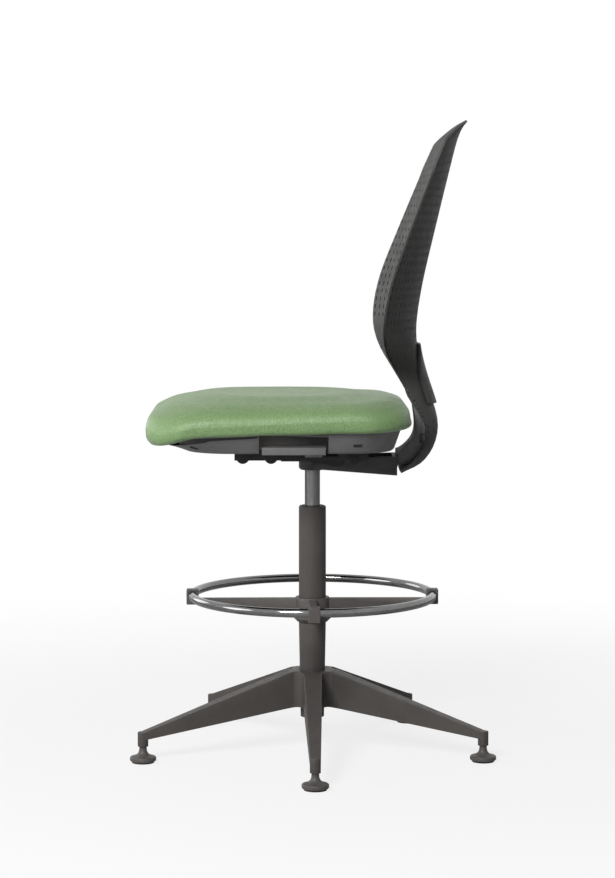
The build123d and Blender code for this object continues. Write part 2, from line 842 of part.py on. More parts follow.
# Pivot shaft with a bush at each side of the housing; its left end carries the brake pad
brake_x = arm_half_width + moving_gap + brake_travel
with BuildPart() as pivot_shaft:
    shaft_left = brake_x + brake_thickness + pivot_shaft_end
    cross_rod(pivot_radius, pivot_place, pivot_z, -arm_half_width - pivot_shaft_end, shaft_left)
save(pivot_shaft, "pivot_shaft")
for side, name in ((1, "left"), (-1, "right")):
    with BuildPart() as pivot_bush:
        bush_outer = housing_half_width + pivot_bush_proud
        bush_ends = sorted((side * (bush_outer - pivot_bush_length), side * bush_outer))
        cross_rod(pivot_radius + pivot_bush_wall, pivot_place, pivot_z, *bush_ends)
        cross_rod(pivot_radius + running_gap, pivot_place, pivot_z, *bush_ends, Mode.SUBTRACT)
    save(pivot_bush, f"pivot_bush_{name}")

# Paddle levers on their pins
paddle_inner = paddle_outer - paddle_depth
paddle_low = frame_top - paddle_drop
paddle_high = paddle_low + paddle_face
strip_end = paddle_inner + lever_thickness
strip_bend = frame_half_width + lever_bend_reach


def paddle_lever(side, inner_end):
    """A strip on a barrel, cranked up to the finger paddle; side is the sign of X."""
    with BuildSketch(Plane.XZ.offset(-lever_half_width)) as strip:
        Polygon(
            (side * inner_end, strip_low),
            (side * strip_bend, strip_low),
            (side * strip_end, paddle_low),
            (side * strip_end, paddle_low + lever_thickness),
            (side * strip_bend, strip_high),
            (side * inner_end, strip_high),
            align=None,
        )
    extrude(strip.sketch, amount=2 * lever_half_width)
    with Locations(Location((side * lever_pin_offset, 0, lever_z), (90, 0, 0))):
        Cylinder(lever_barrel_radius, 2 * lever_half_width)
        Cylinder(lever_pin_radius + running_gap, 2 * lever_half_width, mode=Mode.SUBTRACT)
    with BuildSketch(Plane.XZ.offset(-paddle_rear)) as paddle:
        Polygon(
            (side * paddle_inner, paddle_low),
            (side * paddle_outer, paddle_low),
            (side * paddle_outer, paddle_high),
            (side * paddle_inner, paddle_high + paddle_slope),
            align=None,
        )
        fillet(paddle.vertices(), lever_thickness / 2)
    extrude(paddle.sketch, amount=paddle_rear - paddle_front)


with BuildPart() as height_lever:
    paddle_lever(-1, -valve_tip_reach)
save(height_lever, "height_lever")

with BuildPart() as lock_lever:
    paddle_lever(1, brake_x + brake_land)
save(lock_lever, "lock_lever")

for side, name in ((1, "left"), (-1, "right")):
    with BuildPart() as lever_pin:
        with Locations(Location((side * lever_pin_offset, 0, lever_z), (90, 0, 0))):
            Cylinder(lever_pin_radius, 2 * (lug_half + lug_thickness + lever_pin_end))
    save(lever_pin, f"lever_pin_{name}")

# Brake pad: slides on the pivot shaft against the arm; the lock lever's end rides on its bevel
pad_top = strip_low - moving_gap
pad_outer = brake_x + brake_thickness
with BuildPart() as brake_pad:
    side_plate(
        [
            (-brake_half_length, pad_top - brake_radius),
            (pivot_place, pivot_z - brake_radius),
            (pivot_place, pivot_z + brake_radius),
            (brake_half_length, pad_top),
            (-brake_half_length, pad_top),
        ],
        brake_x,
        pad_outer,
    )
    cross_rod(brake_radius, pivot_place, pivot_z, brake_x, pad_outer)
    cross_rod(pivot_radius + running_gap, pivot_place, pivot_z, brake_x, pad_outer, Mode.SUBTRACT)
    bevel = (brake_thickness - brake_land) * brake_bevel_slope
    with BuildSketch(Plane.XZ.offset(-brake_radius - pivot_place)):
        land_end = (brake_x + brake_land, pad_top)
        Polygon(land_end, (pad_outer, pad_top - bevel), (pad_outer, pad_top + bevel), align=None)
    extrude(amount=brake_radius + pivot_place + 2 * brake_half_length, mode=Mode.SUBTRACT)
save(brake_pad, "brake_pad")

# Recline arm: a fork round the housing, closed to a channel behind it
arm_rear_low = frame_top - arm_rear_drop
arm_rear_top = arm_rear_low + arm_rear_depth
arm_front_low = frame_top - arm_front_drop
arm_front_top = arm_front_low + arm_front_depth
arm_low_slope = (arm_rear_low - arm_front_low) / (arm_rear - arm_front)
bridge_start = arm_front + arm_bridge
arm_screw_z = (arm_rear_low + arm_rear_top) / 2
arm_screw_places = [
    Location((side * arm_screw_spacing / 2, arm_rear, arm_screw_z), (90, 0, 0)) for side in (-1, 1)
]
with BuildPart() as back_arm:
    side_plate(
        [
            (arm_front, arm_front_low),
            (arm_rear, arm_rear_low),
            (arm_rear, arm_rear_top),
            (pivot_place + 2 * pivot_boss_radius, pivot_z + arm_shoulder),
            (pivot_place - pivot_boss_radius, arm_front_top + fork_rise),
            (arm_front, arm_front_top),
        ],
        -arm_half_width,
        arm_half_width,
    )
    cross_rod(pivot_radius + arm_boss_wall, pivot_place, pivot_z, -arm_half_width, arm_half_width)
    block(-arm_gap, arm_gap, arm_front - overcut, bridge_start, arm_rear_low, frame_top, Mode.SUBTRACT)
    side_plate(
        [
            (bridge_start - overcut, arm_front_low + arm_low_slope * (bridge_start - arm_front) + arm_web),
            (arm_rear - arm_end_wall, arm_rear_low + arm_web),
            (arm_rear - arm_end_wall, frame_top),
            (bridge_start - overcut, frame_top),
        ],
        arm_wall - arm_half_width,
        arm_half_width - arm_wall,
        Mode.SUBTRACT,
    )
    cross_rod(pivot_radius + press_gap, pivot_place, pivot_z, -arm_half_width, arm_half_width, Mode.SUBTRACT)
    with Locations(*arm_screw_places):
        Cylinder(screw_radius + press_gap, arm_end_wall, align=upright, mode=Mode.SUBTRACT)
save(back_arm, "back_arm")

# Recline springs, between the fork's front ends and the seat frame
spring_x = (arm_gap + arm_half_width) / 2
spring_low = arm_front_top + fork_rise + moving_gap + spring_wire
spring_high = frame_low - moving_gap - spring_wire
for side, name in ((1, "left"), (-1, "right")):
    coil_height = spring_high - spring_low
    with BuildPart() as recline_spring:
        with BuildLine() as coil:
            Helix(
                pitch=coil_height / spring_turns,
                height=coil_height,
                radius=spring_radius,
                center=(side * spring_x, spring_place, spring_low),
            )
        with BuildSketch(Plane(origin=coil.line @ 0, z_dir=coil.line % 0)):
            Circle(spring_wire)
        sweep(is_frenet=True)
    samples = [coil.line @ (step / spring_samples) for step in range(spring_samples + 1)]
    half_turn = spring_samples // (2 * spring_turns)
    turn_gap = min(
        (later - earlier).length
        for place, earlier in enumerate(samples)
        for later in samples[place + half_turn:]
    )
    print(f"recline_spring_{name}: least gap between turns {turn_gap - 2 * spring_wire:.2f} mm")
    save(recline_spring, f"recline_spring_{name}")

# Seat: shell, board and cushion share one rounded plan, drawn on tilted levels
def seat_level(front, rear, half_width, corner):
    """The seat's plan on the level through a front and a rear edge, each given as (y, z)."""
    depth = hypot(rear[0] - front[0], rear[1] - front[1])
    middle = (0, (front[0] + rear[0]) / 2, (front[1] + rear[1]) / 2)
    along = ((rear[0] - front[0]) / depth, (rear[1] - front[1]) / depth)
    level = Plane(origin=middle, x_dir=(1, 0, 0), z_dir=(0, -along[1], along[0]))
    with BuildSketch(level) as outline:
        RectangleRounded(2 * half_width, depth, corner)
    return outline.sketch


seat_seam_front = frame_top + shell_depth_front
seat_seam_rear = frame_top + shell_depth_rear
seam_slope = (seat_seam_rear - seat_seam_front) / (seat_rear - seat_front)


def seam_level(inset, drop, corner):
    """The plan at the seam, set in from the shell's rim and lowered below it."""
    front = (seat_front + inset, seat_seam_front + inset * seam_slope - drop)
    rear = (seat_rear - inset, seat_seam_rear - inset * seam_slope - drop)
    return seat_level(front, rear, seat_half_width - inset, corner)


def floor_level(inset, lift):
    """The plan of the shell's floor, set in from the rim by the shell's draft."""
    front = (seat_front + shell_draft_front + inset, frame_top + lift)
    rear = (seat_rear - shell_draft_rear - inset, frame_top + lift)
    return seat_level(front, rear, seat_half_width - shell_draft_side - inset, shell_corner - inset)


seam_plane = Plane(seam_level(0, 0, shell_corner).face())
with BuildPart() as shell_envelope:
    loft([floor_level(0, 0), seam_level(0, 0, shell_corner)])
    floor_edges = shell_envelope.faces().sort_by(Axis.Z)[0].edges()
    fillet(floor_edges, shell_bottom_round)

paddle_rise = tan(radians(lever_angle)) * (paddle_inner - lever_pin_offset)
pocket_top = paddle_high + paddle_slope + paddle_rise + lever_room
pocket_y = (paddle_front - pocket_play, paddle_rear + pocket_play)
pocket_inner = strip_bend
with BuildPart() as lever_pockets:
    for side in (-1, 1):
        pocket = sorted((side * (pocket_inner - pocket_wall), side * (seat_half_width + overcut)))
        walls_y = (pocket_y[0] - pocket_wall, pocket_y[1] + pocket_wall)
        block(*pocket, *walls_y, frame_top, pocket_top + pocket_wall)
    add(shell_envelope.part, mode=Mode.INTERSECT)

post_height = seat_seam_rear - frame_top
with BuildPart() as seat_shell:
    add(shell_envelope.part)
    hollow_top = seam_level(shell_wall, shell_ledge_thickness, shell_corner - shell_wall)
    loft([floor_level(shell_wall, shell_wall), hollow_top], mode=Mode.SUBTRACT)
    opening = seam_level(shell_ledge, shell_ledge_thickness + overcut, shell_corner - shell_ledge)
    extrude(opening, amount=shell_ledge_thickness + 2 * overcut, mode=Mode.SUBTRACT)
    add(lever_pockets.part)
    for side in (-1, 1):
        hollow = sorted((side * pocket_inner, side * (seat_half_width + 2 * overcut)))
        block(*hollow, *pocket_y, frame_top, pocket_top, Mode.SUBTRACT)
    for place in seat_screw_places:
        with Locations((*place, frame_top)):
            Cylinder(post_radius, post_height, align=upright)
    split(bisect_by=seam_plane, keep=Keep.BOTTOM)
    for place in seat_screw_places:
        with Locations((*place, frame_top)):
            Cylinder(screw_radius + press_gap, post_height, align=upright, mode=Mode.SUBTRACT)
save(seat_shell, "seat_shell")

with BuildPart() as seat_board:
    board = seam_level(board_inset, 0, shell_corner - board_inset)
    extrude(board, amount=board_thickness)
    for place in seat_screw_places:
        with Locations((*place, frame_top)):
            Cylinder(screw_radius + press_gap, 2 * post_height, align=upright, mode=Mode.SUBTRACT)
save(seat_board, "seat_board")

with BuildPart() as seat_screws:
    for x, y in seat_screw_places:
        board_height = seat_seam_front + (y - seat_front) * seam_slope + board_thickness - screw_hole_room
        with Locations((x, y, frame_low - screw_head_height)):
            Cylinder(screw_head_radius, screw_head_height, align=upright)
            Cylinder(screw_radius, board_height - frame_low + screw_head_height, align=upright)
save(seat_screws, "seat_screws")

# Cushion: swells out above the seam, draws in at the shoulders and crowns at the top
def cushion_level(front_out, rear_out, side_out, front_lift, rear_lift):
    front = (seat_front - front_out, seat_seam_front - front_out * seam_slope + front_lift)
    rear = (seat_rear + rear_out, seat_seam_rear + rear_out * seam_slope + rear_lift)
    return seat_level(front, rear, seat_half_width + side_out, cushion_corner)


swell = (cushion_swell_front, cushion_swell_rear, cushion_swell_side)
with BuildPart() as seat_cushion:
    levels = [
        cushion_level(cushion_lip, cushion_lip, cushion_lip, moving_gap, moving_gap),
        cushion_level(*swell, cushion_swell_height, cushion_swell_height),
    ]
    for inset, front_lift, rear_lift in cushion_levels:
        levels.append(cushion_level(*[out - inset for out in swell], front_lift, rear_lift))
    loft(levels)
    board_hole = seam_level(board_inset - seat_gap, 0, shell_corner - board_inset + seat_gap)
    extrude(board_hole, amount=board_thickness + moving_gap, mode=Mode.SUBTRACT)
save(seat_cushion, "seat_cushion")

# Back: stations along the spine, from the neck's lower end to the top
neck_bend_z = frame_top + neck_bend_rise
back_top = frame_top + back_rise
back_stations = [(frame_top + rise, *rest) for rise, *rest in back_rows]
neck_stations = []
for step in range(neck_steps + 1):
    share = step / neck_steps
    angle = neck_start_angle + (neck_end_angle - neck_start_angle) * share
    neck_stations.append(
        (
            neck_bend_z + neck_bend_radius * sin(radians(angle)),
            neck_bend_y + neck_bend_radius * cos(radians(angle)),
            neck_half_width,
            neck_sag + (neck_top_sag - neck_sag) * share,
        )
    )
stations = neck_stations + back_stations


def station_plane(place):
    """A level plane on the back, or one square to the bend on the neck, with Y out of the rear face."""
    point = (0, place[1], place[0])
    if place in neck_stations:
        bend = atan2(place[0] - neck_bend_z, place[1] - neck_bend_y)
        return Plane(origin=point, x_dir=(1, 0, 0), z_dir=(0, -sin(bend), cos(bend)))
    return Plane(origin=point, x_dir=(1, 0, 0), z_dir=(0, 0, 1))


def section_radius(place):
    half, sag = place[2], place[3]
    return (half * half + sag * sag) / (2 * sag)


def band(place, inner, outer, half):
    """A curved strip across the back, between two offsets from its rear face."""
    radius = section_radius(place)
    spread = asin(half / radius)

    def on_arc(offset, angle):
        reach = radius + offset
        return (reach * sin(angle), reach * cos(angle) - radius)

    with BuildSketch(station_plane(place)) as strip:
        with BuildLine():
            ThreePointArc(on_arc(outer, -spread), on_arc(outer, 0), on_arc(outer, spread))
            Line(on_arc(outer, spread), on_arc(inner, spread))
            ThreePointArc(on_arc(inner, spread), on_arc(inner, 0), on_arc(inner, -spread))
            Line(on_arc(inner, -spread), on_arc(outer, -spread))
        make_face()
    return strip.sketch


screw_place = back_stations[back_screw_station]
screw_edge = back_screw_spacing / 2 + back_screw_head_radius
screw_sink = section_radius(screw_place) - (section_radius(screw_place) ** 2 - screw_edge**2) ** 0.5
screw_face = screw_place[1] - screw_sink - 3 * seat_gap


def back_screw(side, play):
    """A countersunk screw driven forwards through the shell, with play round it."""
    start = (side * back_screw_spacing / 2, screw_face + play, screw_place[0])
    with Locations(Plane(origin=start, x_dir=(1, 0, 0), z_dir=(0, -1, 0)).location):
        Cone(back_screw_head_radius + play, back_screw_radius + play, back_screw_head + play, align=upright)
        Cylinder(back_screw_radius + play, back_screw_length + 2 * play, align=upright)
        if play:
            Cylinder(back_screw_head_radius + play, screw_sink + shell_thickness, align=downward)


with BuildPart() as back_screws:
    for side in (-1, 1):
        back_screw(side, 0)
save(back_screws, "back_screws")

with BuildPart() as back_screw_holes:
    for side in (-1, 1):
        back_screw(side, seat_gap)

with BuildPart() as back_skin:
    loft([band(place, -shell_thickness, 0, place[2]) for place in stations])
    top_start = back_top - top_corner_start
    with BuildSketch(Plane.XZ) as trim:
        with BuildLine():
            reach = 2 * top_half_width
            Polyline((0, 0), (reach, 0), (reach, top_start), (top_half_width, top_start))
            Spline(
                (top_half_width, top_start),
                (top_corner_side * top_half_width, back_top - top_corner_drop * top_corner_start),
                (0, back_top),
                tangents=((0, 1), (-1, 0)),
            )
            mirror(about=Plane.YZ)
        make_face()
    extrude(trim.sketch, amount=2 * top_half_width, both=True, mode=Mode.INTERSECT)
    block(-reach, reach, arm_front, arm_rear + moving_gap, 0, frame_top, Mode.SUBTRACT)

with BuildPart() as rear_cover:
    covered = back_stations[:cover_stations]
    loft([band(place, seat_gap, cover_thickness, cover_half_width) for place in covered])
    add(back_skin.part, mode=Mode.SUBTRACT)
save(rear_cover, "rear_cover")

cover_top = back_stations[cover_stations - 1][0]


def half_width_at(height):
    """Half the back's width at a height, between the two stations next to it."""
    for below, above in zip(back_stations, back_stations[1:]):
        if height <= above[0]:
            break
    share = (height - below[0]) / (above[0] - below[0])
    return below[2] + (above[2] - below[2]) * share


# Vents: staggered rows that follow the outline, smaller towards the top, none behind the cover
with BuildPart() as back_shell:
    add(back_skin.part)
    add(back_screw_holes.part, mode=Mode.SUBTRACT)
    with BuildSketch(Plane.XZ) as vents:
        for row in range(vent_rows):
            height = frame_top + vent_low_rise + row * vent_row_pitch
            pitch = 2 * (half_width_at(height) - vent_margin) / vent_columns
            size = 1 - (1 - vent_top_share) * row / (vent_rows - 1)
            width = min(vent_width * size, vent_width_share * pitch)
            across = vent_columns - row % 2
            for column in range(across):
                x = (column - (across - 1) / 2) * pitch
                if height > cover_top + vent_length or abs(x) > cover_half_width + vent_margin:
                    with Locations((x, height)):
                        SlotOverall(vent_length * size, width, rotation=90)
    extrude(vents.sketch, amount=reach, both=True, mode=Mode.SUBTRACT)
save(back_shell, "back_shell")


def carrier_section(place, depth):
    """The carrier's solid section: it fills the neck's hollow to a flat front face."""
    radius = section_radius(place) - shell_thickness - seat_gap
    rise = radius - (radius**2 - carrier_half_width**2) ** 0.5
    back = -shell_thickness - seat_gap
    with BuildSketch(station_plane(place)) as section:
        with BuildLine():
            side = back - rise
            front = side - depth
            left = (-carrier_half_width, side)
            right = (carrier_half_width, side)
            ThreePointArc(left, (0, back), right)
            Polyline(right, (carrier_half_width, front), (-carrier_half_width, front), left)
        make_face()
    return section.sketch


carrier_places = neck_stations + back_stations[:carrier_stations]
with BuildPart() as back_carrier:
    bend_fall = (carrier_depth_bend - carrier_depth_low) / neck_steps
    tongue_fall = (carrier_depth_high - carrier_depth_bend) / carrier_stations
    depths = [carrier_depth_low + bend_fall * step for step in range(neck_steps + 1)]
    depths += [carrier_depth_bend + tongue_fall * (step + 1) for step in range(carrier_stations)]
    loft([carrier_section(place, depth) for place, depth in zip(carrier_places, depths)])
    add(back_skin.part, mode=Mode.SUBTRACT)
    add(back_screw_holes.part, mode=Mode.SUBTRACT)
    arm_x = (-arm_half_width, arm_half_width)
    block(*arm_x, arm_front, arm_rear, arm_rear_low - arm_web, frame_top, Mode.SUBTRACT)
    slot_turn = radians(slot_angle)
    slot_reach = neck_bend_radius - shell_thickness - carrier_depth_bend / 2 - slot_width
    slot_centre = (neck_bend_y + slot_reach * cos(slot_turn), neck_bend_z + slot_reach * sin(slot_turn))
    for side in (-1, 1):
        slot_start = (side * carrier_half_width, *slot_centre)
        slot_side = Plane(origin=slot_start, x_dir=(0, 0, 1), z_dir=(-side, 0, 0))
        with BuildSketch(slot_side) as slot:
            SlotOverall(slot_length, slot_width)
        extrude(slot.sketch, amount=slot_depth, mode=Mode.SUBTRACT)
    with Locations(*arm_screw_places):
        Cylinder(screw_radius + press_gap, arm_screw_length, align=downward, mode=Mode.SUBTRACT)
save(back_carrier, "back_carrier")

with BuildPart() as arm_screws:
    with Locations(*arm_screw_places):
        Cylinder(screw_radius, arm_screw_length - screw_hole_room, align=downward)
        Cylinder(screw_radius, arm_end_wall, align=upright)
        with Locations((0, 0, arm_end_wall)):
            Cylinder(screw_head_radius, screw_head_height, align=upright)
save(arm_screws, "arm_screws")
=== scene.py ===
import json
from math import cos, pi, radians, sin

import bpy
from mathutils import Matrix, Vector, noise
from mathutils.bvhtree import BVHTree

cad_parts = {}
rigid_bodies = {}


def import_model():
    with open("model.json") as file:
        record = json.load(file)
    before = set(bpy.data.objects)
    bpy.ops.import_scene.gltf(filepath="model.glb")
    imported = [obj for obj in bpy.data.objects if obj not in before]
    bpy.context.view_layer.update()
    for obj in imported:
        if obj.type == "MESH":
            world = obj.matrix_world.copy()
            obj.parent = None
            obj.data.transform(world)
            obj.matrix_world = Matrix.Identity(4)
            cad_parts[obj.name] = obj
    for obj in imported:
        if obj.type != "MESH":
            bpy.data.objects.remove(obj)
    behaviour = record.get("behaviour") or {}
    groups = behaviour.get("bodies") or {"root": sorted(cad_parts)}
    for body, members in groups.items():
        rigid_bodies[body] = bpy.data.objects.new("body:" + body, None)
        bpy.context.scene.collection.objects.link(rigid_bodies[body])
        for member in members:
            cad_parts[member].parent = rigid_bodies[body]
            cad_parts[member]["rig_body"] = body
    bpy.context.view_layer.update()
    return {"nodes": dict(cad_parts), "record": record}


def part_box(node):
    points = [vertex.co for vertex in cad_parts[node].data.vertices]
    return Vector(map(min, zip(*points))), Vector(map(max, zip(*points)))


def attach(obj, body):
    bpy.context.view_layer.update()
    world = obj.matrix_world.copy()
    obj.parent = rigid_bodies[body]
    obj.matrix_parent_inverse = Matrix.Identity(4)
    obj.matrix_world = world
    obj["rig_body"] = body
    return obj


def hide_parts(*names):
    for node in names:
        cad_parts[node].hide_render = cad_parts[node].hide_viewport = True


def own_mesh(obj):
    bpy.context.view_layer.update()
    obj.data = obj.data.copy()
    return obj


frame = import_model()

# The stool stands on the floor with its column on the Z axis. The sitter faces -Y. Metres throughout.

# Camera, as fitted to the circle of glides and the foot ring
photo_width, photo_height = 615, 878
camera_focal_px = 2470.0
camera_distance = 4.525
camera_side = -0.009
camera_height = 0.970
camera_pitch = radians(4.92)
camera_turn = radians(0.8)
sensor_long_side = 36.0
camera_far_end = 60

# Cushion
cushion_voxel = 0.005
cushion_pressure = 4.0
cushion_frames = 20
cushion_cap = 0.0035
cushion_side_cap = 0.0008
cushion_stiffness = 25
cushion_even_rounds = 3
cushion_relax_rounds = 14
cushion_relax_factors = (0.5, -0.52)
smoothing_factor = 0.5
crown_smoothing = 70
crown_settling = 45
drop_share = ((0.020, 0.0), (0.080, 1.0))
crown_hold = ((0.45, 0.0), (0.95, 1.0))
crown_drop = ((-0.30, 0.0095), (-0.20, 0.0095), (-0.05, 0.0105), (0.05, 0.0125), (0.14, 0.011), (0.20, 0.007))
# Outward shifts of the cover's front, rear and sides, by height above the seam
front_trim = ((0.0, -0.006), (0.007, -0.009), (0.024, -0.008), (0.035, -0.0035), (0.042, 0.0),
              (0.056, 0.0085), (0.067, 0.0065), (0.080, 0.004), (0.090, 0.0))
rear_trim = ((0.0, -0.001), (0.009, -0.003), (0.020, -0.007), (0.031, -0.003), (0.042, 0.005),
             (0.060, 0.005), (0.080, 0.003), (0.090, 0.0))
side_trim = ((0.0, -0.004), (0.015, -0.003), (0.030, 0.002), (0.045, 0.009), (0.060, 0.013),
             (0.072, 0.011), (0.085, 0.005), (0.095, 0.0))
trim_lowest = -0.004
trim_least_slope = 0.1
trim_full_slope = 0.4
board_share = 0.94
held_below = -0.35
hem_height = 0.016
hem_pucker = 0.0007
hem_pitch = 0.011
hem_facing = 0.6
hem_stretch = 0.3
seam_ends = ((-0.272, 0.588), (0.157, 0.611))
seam_bow = ((-0.280, -0.004), (-0.200, 0.0095), (-0.110, 0.008), (0.020, 0.004), (0.120, 0.0))
seam_reach = 0.040

# Back shell: rows of slots moulded through it
back_bend_centre = (0.140, 0.605)
back_bend_start = -75.6
back_bend_rows = 9
back_row_pitch = 0.0148
back_columns = 36
back_thickness = 0.004
back_edge_row = 0.0035
back_edge_span = 0.06
back_edge_share = 0.018
back_inset = 0.0004
back_reach_limit = 0.3
back_height_limit = 1.2
back_taper_span = 0.03
back_bend_nudge = 0.02
back_rim_crease = 0.75
hole_spans = (0.004, 0.006, 0.008, 0.010)
vent_wall_facing = -0.25
vent_bulge = 1.1
back_top_zone = 1.045
back_top_rows = 7
slot_zone = (0.712, 1.118)
slot_full_size = (0.0036, 0.0104)
slot_full_height = 0.90
slot_end_share = 0.42
slot_least_cell = 0.0066
slot_margin_columns = 3
slot_first_inset = 0.002
cover_half_width = 0.047
cover_top = 0.770

# Small dark slots on the sides of the under-shell
side_slot_places = ((-0.2115, 0.5815), (0.0763, 0.5865))
side_slot_length = 0.016
side_slot_width = 0.0046
side_slot_depth = 0.002
side_slot_lip = 0.0007
side_slot_corners = 30
side_slot_hollow = 0.7
side_slot_facing = 0.9
side_slot_ray_start = 0.3

# Painted shade: black strips behind the shell's walls, standing in for the shade inside the shell
shade_strip_front = -0.245
shade_strip_rear = -0.092
shade_strip_steps = 40
shade_strip_least = 0.15
shade_strip_hunt = 0.0005
shade_strip_tries = 60
shade_strip_depth = 0.014
shade_strip_inset = 0.0008
shade_strip_ray_start = 0.4

# Rounded edges
edge_segments = 2
edge_least_angle = 34
flat_angle = 0.6
ring_clip_edge = 0.0035

# Rim of the under-shell
rim_cuts = 24
rim_bands = (0.0045, 0.008, 0.016, 0.026)
nose_share = ((-0.26, 1.0), (-0.22, 0.6), (-0.14, 0.0))
nose_low = 0.008
nose_high = 0.021
rim_overlap = 0.005

# Stage
floor_size = 40
floor_grey = 0.62
floor_roughness = 0.6
floor_specular = 0.2
floor_fade = (0.4, 2.2)
floor_fade_least = 0.80
surround_level = 0.07
lamps = (
    ("key", (3.7, -1.5, 2.75), (0, 0, 0.6), 1.5, 240),
    ("front_fill", (1.0, -3.6, 1.5), (0, 0, 0.7), 2.2, 55),
    ("far_fill", (-2.4, -2.8, 1.4), (0, 0, 0.7), 1.8, 22),
)


# Selecting and applying
def pick(*objects):
    """Selects these objects alone, and makes the first one active."""
    bpy.ops.object.select_all(action="DESELECT")
    for item in objects:
        item.select_set(True)
    bpy.context.view_layer.objects.active = objects[0]


def apply_modifiers(piece):
    pick(piece)
    for modifier in list(piece.modifiers):
        bpy.ops.object.modifier_apply(modifier=modifier.name)


def smooth(piece, angle):
    pick(piece)
    bpy.ops.object.shade_smooth_by_angle(angle=radians(angle))


def outward_of(piece):
    """The outward direction at each of the piece's points."""
    return [vertex.normal.copy() for vertex in piece.data.vertices]


def node_copy(node, name):
    """A merged copy of a CAD node's mesh, as a new piece."""
    piece = bpy.data.objects.new(name, frame["nodes"][node].data.copy())
    bpy.context.scene.collection.objects.link(piece)
    pick(piece)
    bpy.ops.mesh.customdata_custom_splitnormals_clear()
    bpy.ops.object.mode_set(mode="EDIT")
    bpy.ops.mesh.select_all(action="SELECT")
    bpy.ops.mesh.remove_doubles(threshold=1e-5)
    bpy.ops.object.mode_set(mode="OBJECT")
    return piece


def body_of(node):
    return frame["nodes"][node]["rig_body"]


def stand_for(piece, node, finish):
    """Puts the piece in the place of a CAD node, on the node's own body."""
    piece.data.materials.clear()
    piece.data.materials.append(finish)
    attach(piece, body_of(node))
    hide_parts(node)


# Materials: each reads Object coordinates, in metres
class Finish:
    """A material under construction, with the few nodes that the finishes share."""

    def __init__(self, name, colour, roughness, metallic=0.0):
        self.material = bpy.data.materials.new(name)
        self.material.use_nodes = True
        self.tree = self.material.node_tree
        self.shader = self.tree.nodes["Principled BSDF"]
        self.shader.inputs["Base Color"].default_value = (*colour, 1)
        self.shader.inputs["Roughness"].default_value = roughness
        self.shader.inputs["Metallic"].default_value = metallic
        self.place = self.tree.nodes.new("ShaderNodeTexCoord").outputs["Object"]
        self.normal = None

    def link(self, source, target):
        self.tree.links.new(source, target)

    def mapped(self, scale):
        """Object coordinates, stretched along the axes."""
        mapping = self.tree.nodes.new("ShaderNodeMapping")
        mapping.inputs["Scale"].default_value = scale
        self.link(self.place, mapping.inputs["Vector"])
        return mapping.outputs["Vector"]

    def grain(self, size, detail=2.0, roughness=0.5, place=None):
        """Soft noise whose blobs are about size metres across."""
        texture = self.tree.nodes.new("ShaderNodeTexNoise")
        texture.inputs["Scale"].default_value = 1 / size
        texture.inputs["Detail"].default_value = detail
        texture.inputs["Roughness"].default_value = roughness
        self.link(place or self.place, texture.inputs["Vector"])
        return texture.outputs["Fac"]

    def pebbles(self, size, place=None):
        """Rounded cells about size metres across, high in the middle."""
        texture = self.tree.nodes.new("ShaderNodeTexVoronoi")
        texture.feature = "SMOOTH_F1"
        texture.inputs["Scale"].default_value = 1 / size
        texture.inputs["Smoothness"].default_value = 0.35
        self.link(place or self.place, texture.inputs["Vector"])
        return texture.outputs["Distance"]

    def warped(self, amount, size):
        """Object coordinates pushed about by noise, so that cells don't look regular."""
        texture = self.tree.nodes.new("ShaderNodeTexNoise")
        texture.inputs["Scale"].default_value = 1 / size
        self.link(self.place, texture.inputs["Vector"])
        push = self.tree.nodes.new("ShaderNodeVectorMath")
        push.operation = "MULTIPLY_ADD"
        push.inputs[1].default_value = (amount,) * 3
        self.link(texture.outputs["Color"], push.inputs[0])
        self.link(self.place, push.inputs[2])
        return push.outputs["Vector"]

    def spread(self, source, low, high, from_low=0.3, from_high=0.7):
        """Maps a texture's middle range onto low to high."""
        ramp = self.tree.nodes.new("ShaderNodeMapRange")
        ramp.inputs["From Min"].default_value = from_low
        ramp.inputs["From Max"].default_value = from_high
        ramp.inputs["To Min"].default_value = low
        ramp.inputs["To Max"].default_value = high
        self.link(source, ramp.inputs["Value"])
        return ramp.outputs["Result"]

    def blend(self, factor, first, second):
        """A colour between two, each a colour or a socket."""
        mix = self.tree.nodes.new("ShaderNodeMix")
        mix.data_type = "RGBA"
        self.link(factor, mix.inputs["Factor"])
        for socket, value in ((mix.inputs["A"], first), (mix.inputs["B"], second)):
            colour_socket = [s for s in mix.inputs if s.name == socket.name and s.type == "RGBA"][0]
            if isinstance(value, bpy.types.NodeSocket):
                self.link(value, colour_socket)
            else:
                colour_socket.default_value = (*value, 1)
        return [s for s in mix.outputs if s.type == "RGBA"][0]

    def bump(self, height, depth, strength=1.0, invert=False):
        """Adds relief of that depth in metres over the relief so far."""
        node = self.tree.nodes.new("ShaderNodeBump")
        node.invert = invert
        node.inputs["Strength"].default_value = strength
        node.inputs["Distance"].default_value = depth
        self.link(height, node.inputs["Height"])
        if self.normal is not None:
            self.link(self.normal, node.inputs["Normal"])
        self.normal = node.outputs["Normal"]

    def colour_from(self, socket):
        self.link(socket, self.shader.inputs["Base Color"])

    def roughness_from(self, socket):
        self.link(socket, self.shader.inputs["Roughness"])

    def done(self, **values):
        """Sets plain values on the shader and returns the material."""
        for name, value in values.items():
            self.shader.inputs[name.replace("_", " ")].default_value = value
        if self.normal is not None:
            self.link(self.normal, self.shader.inputs["Normal"])
        return self.material


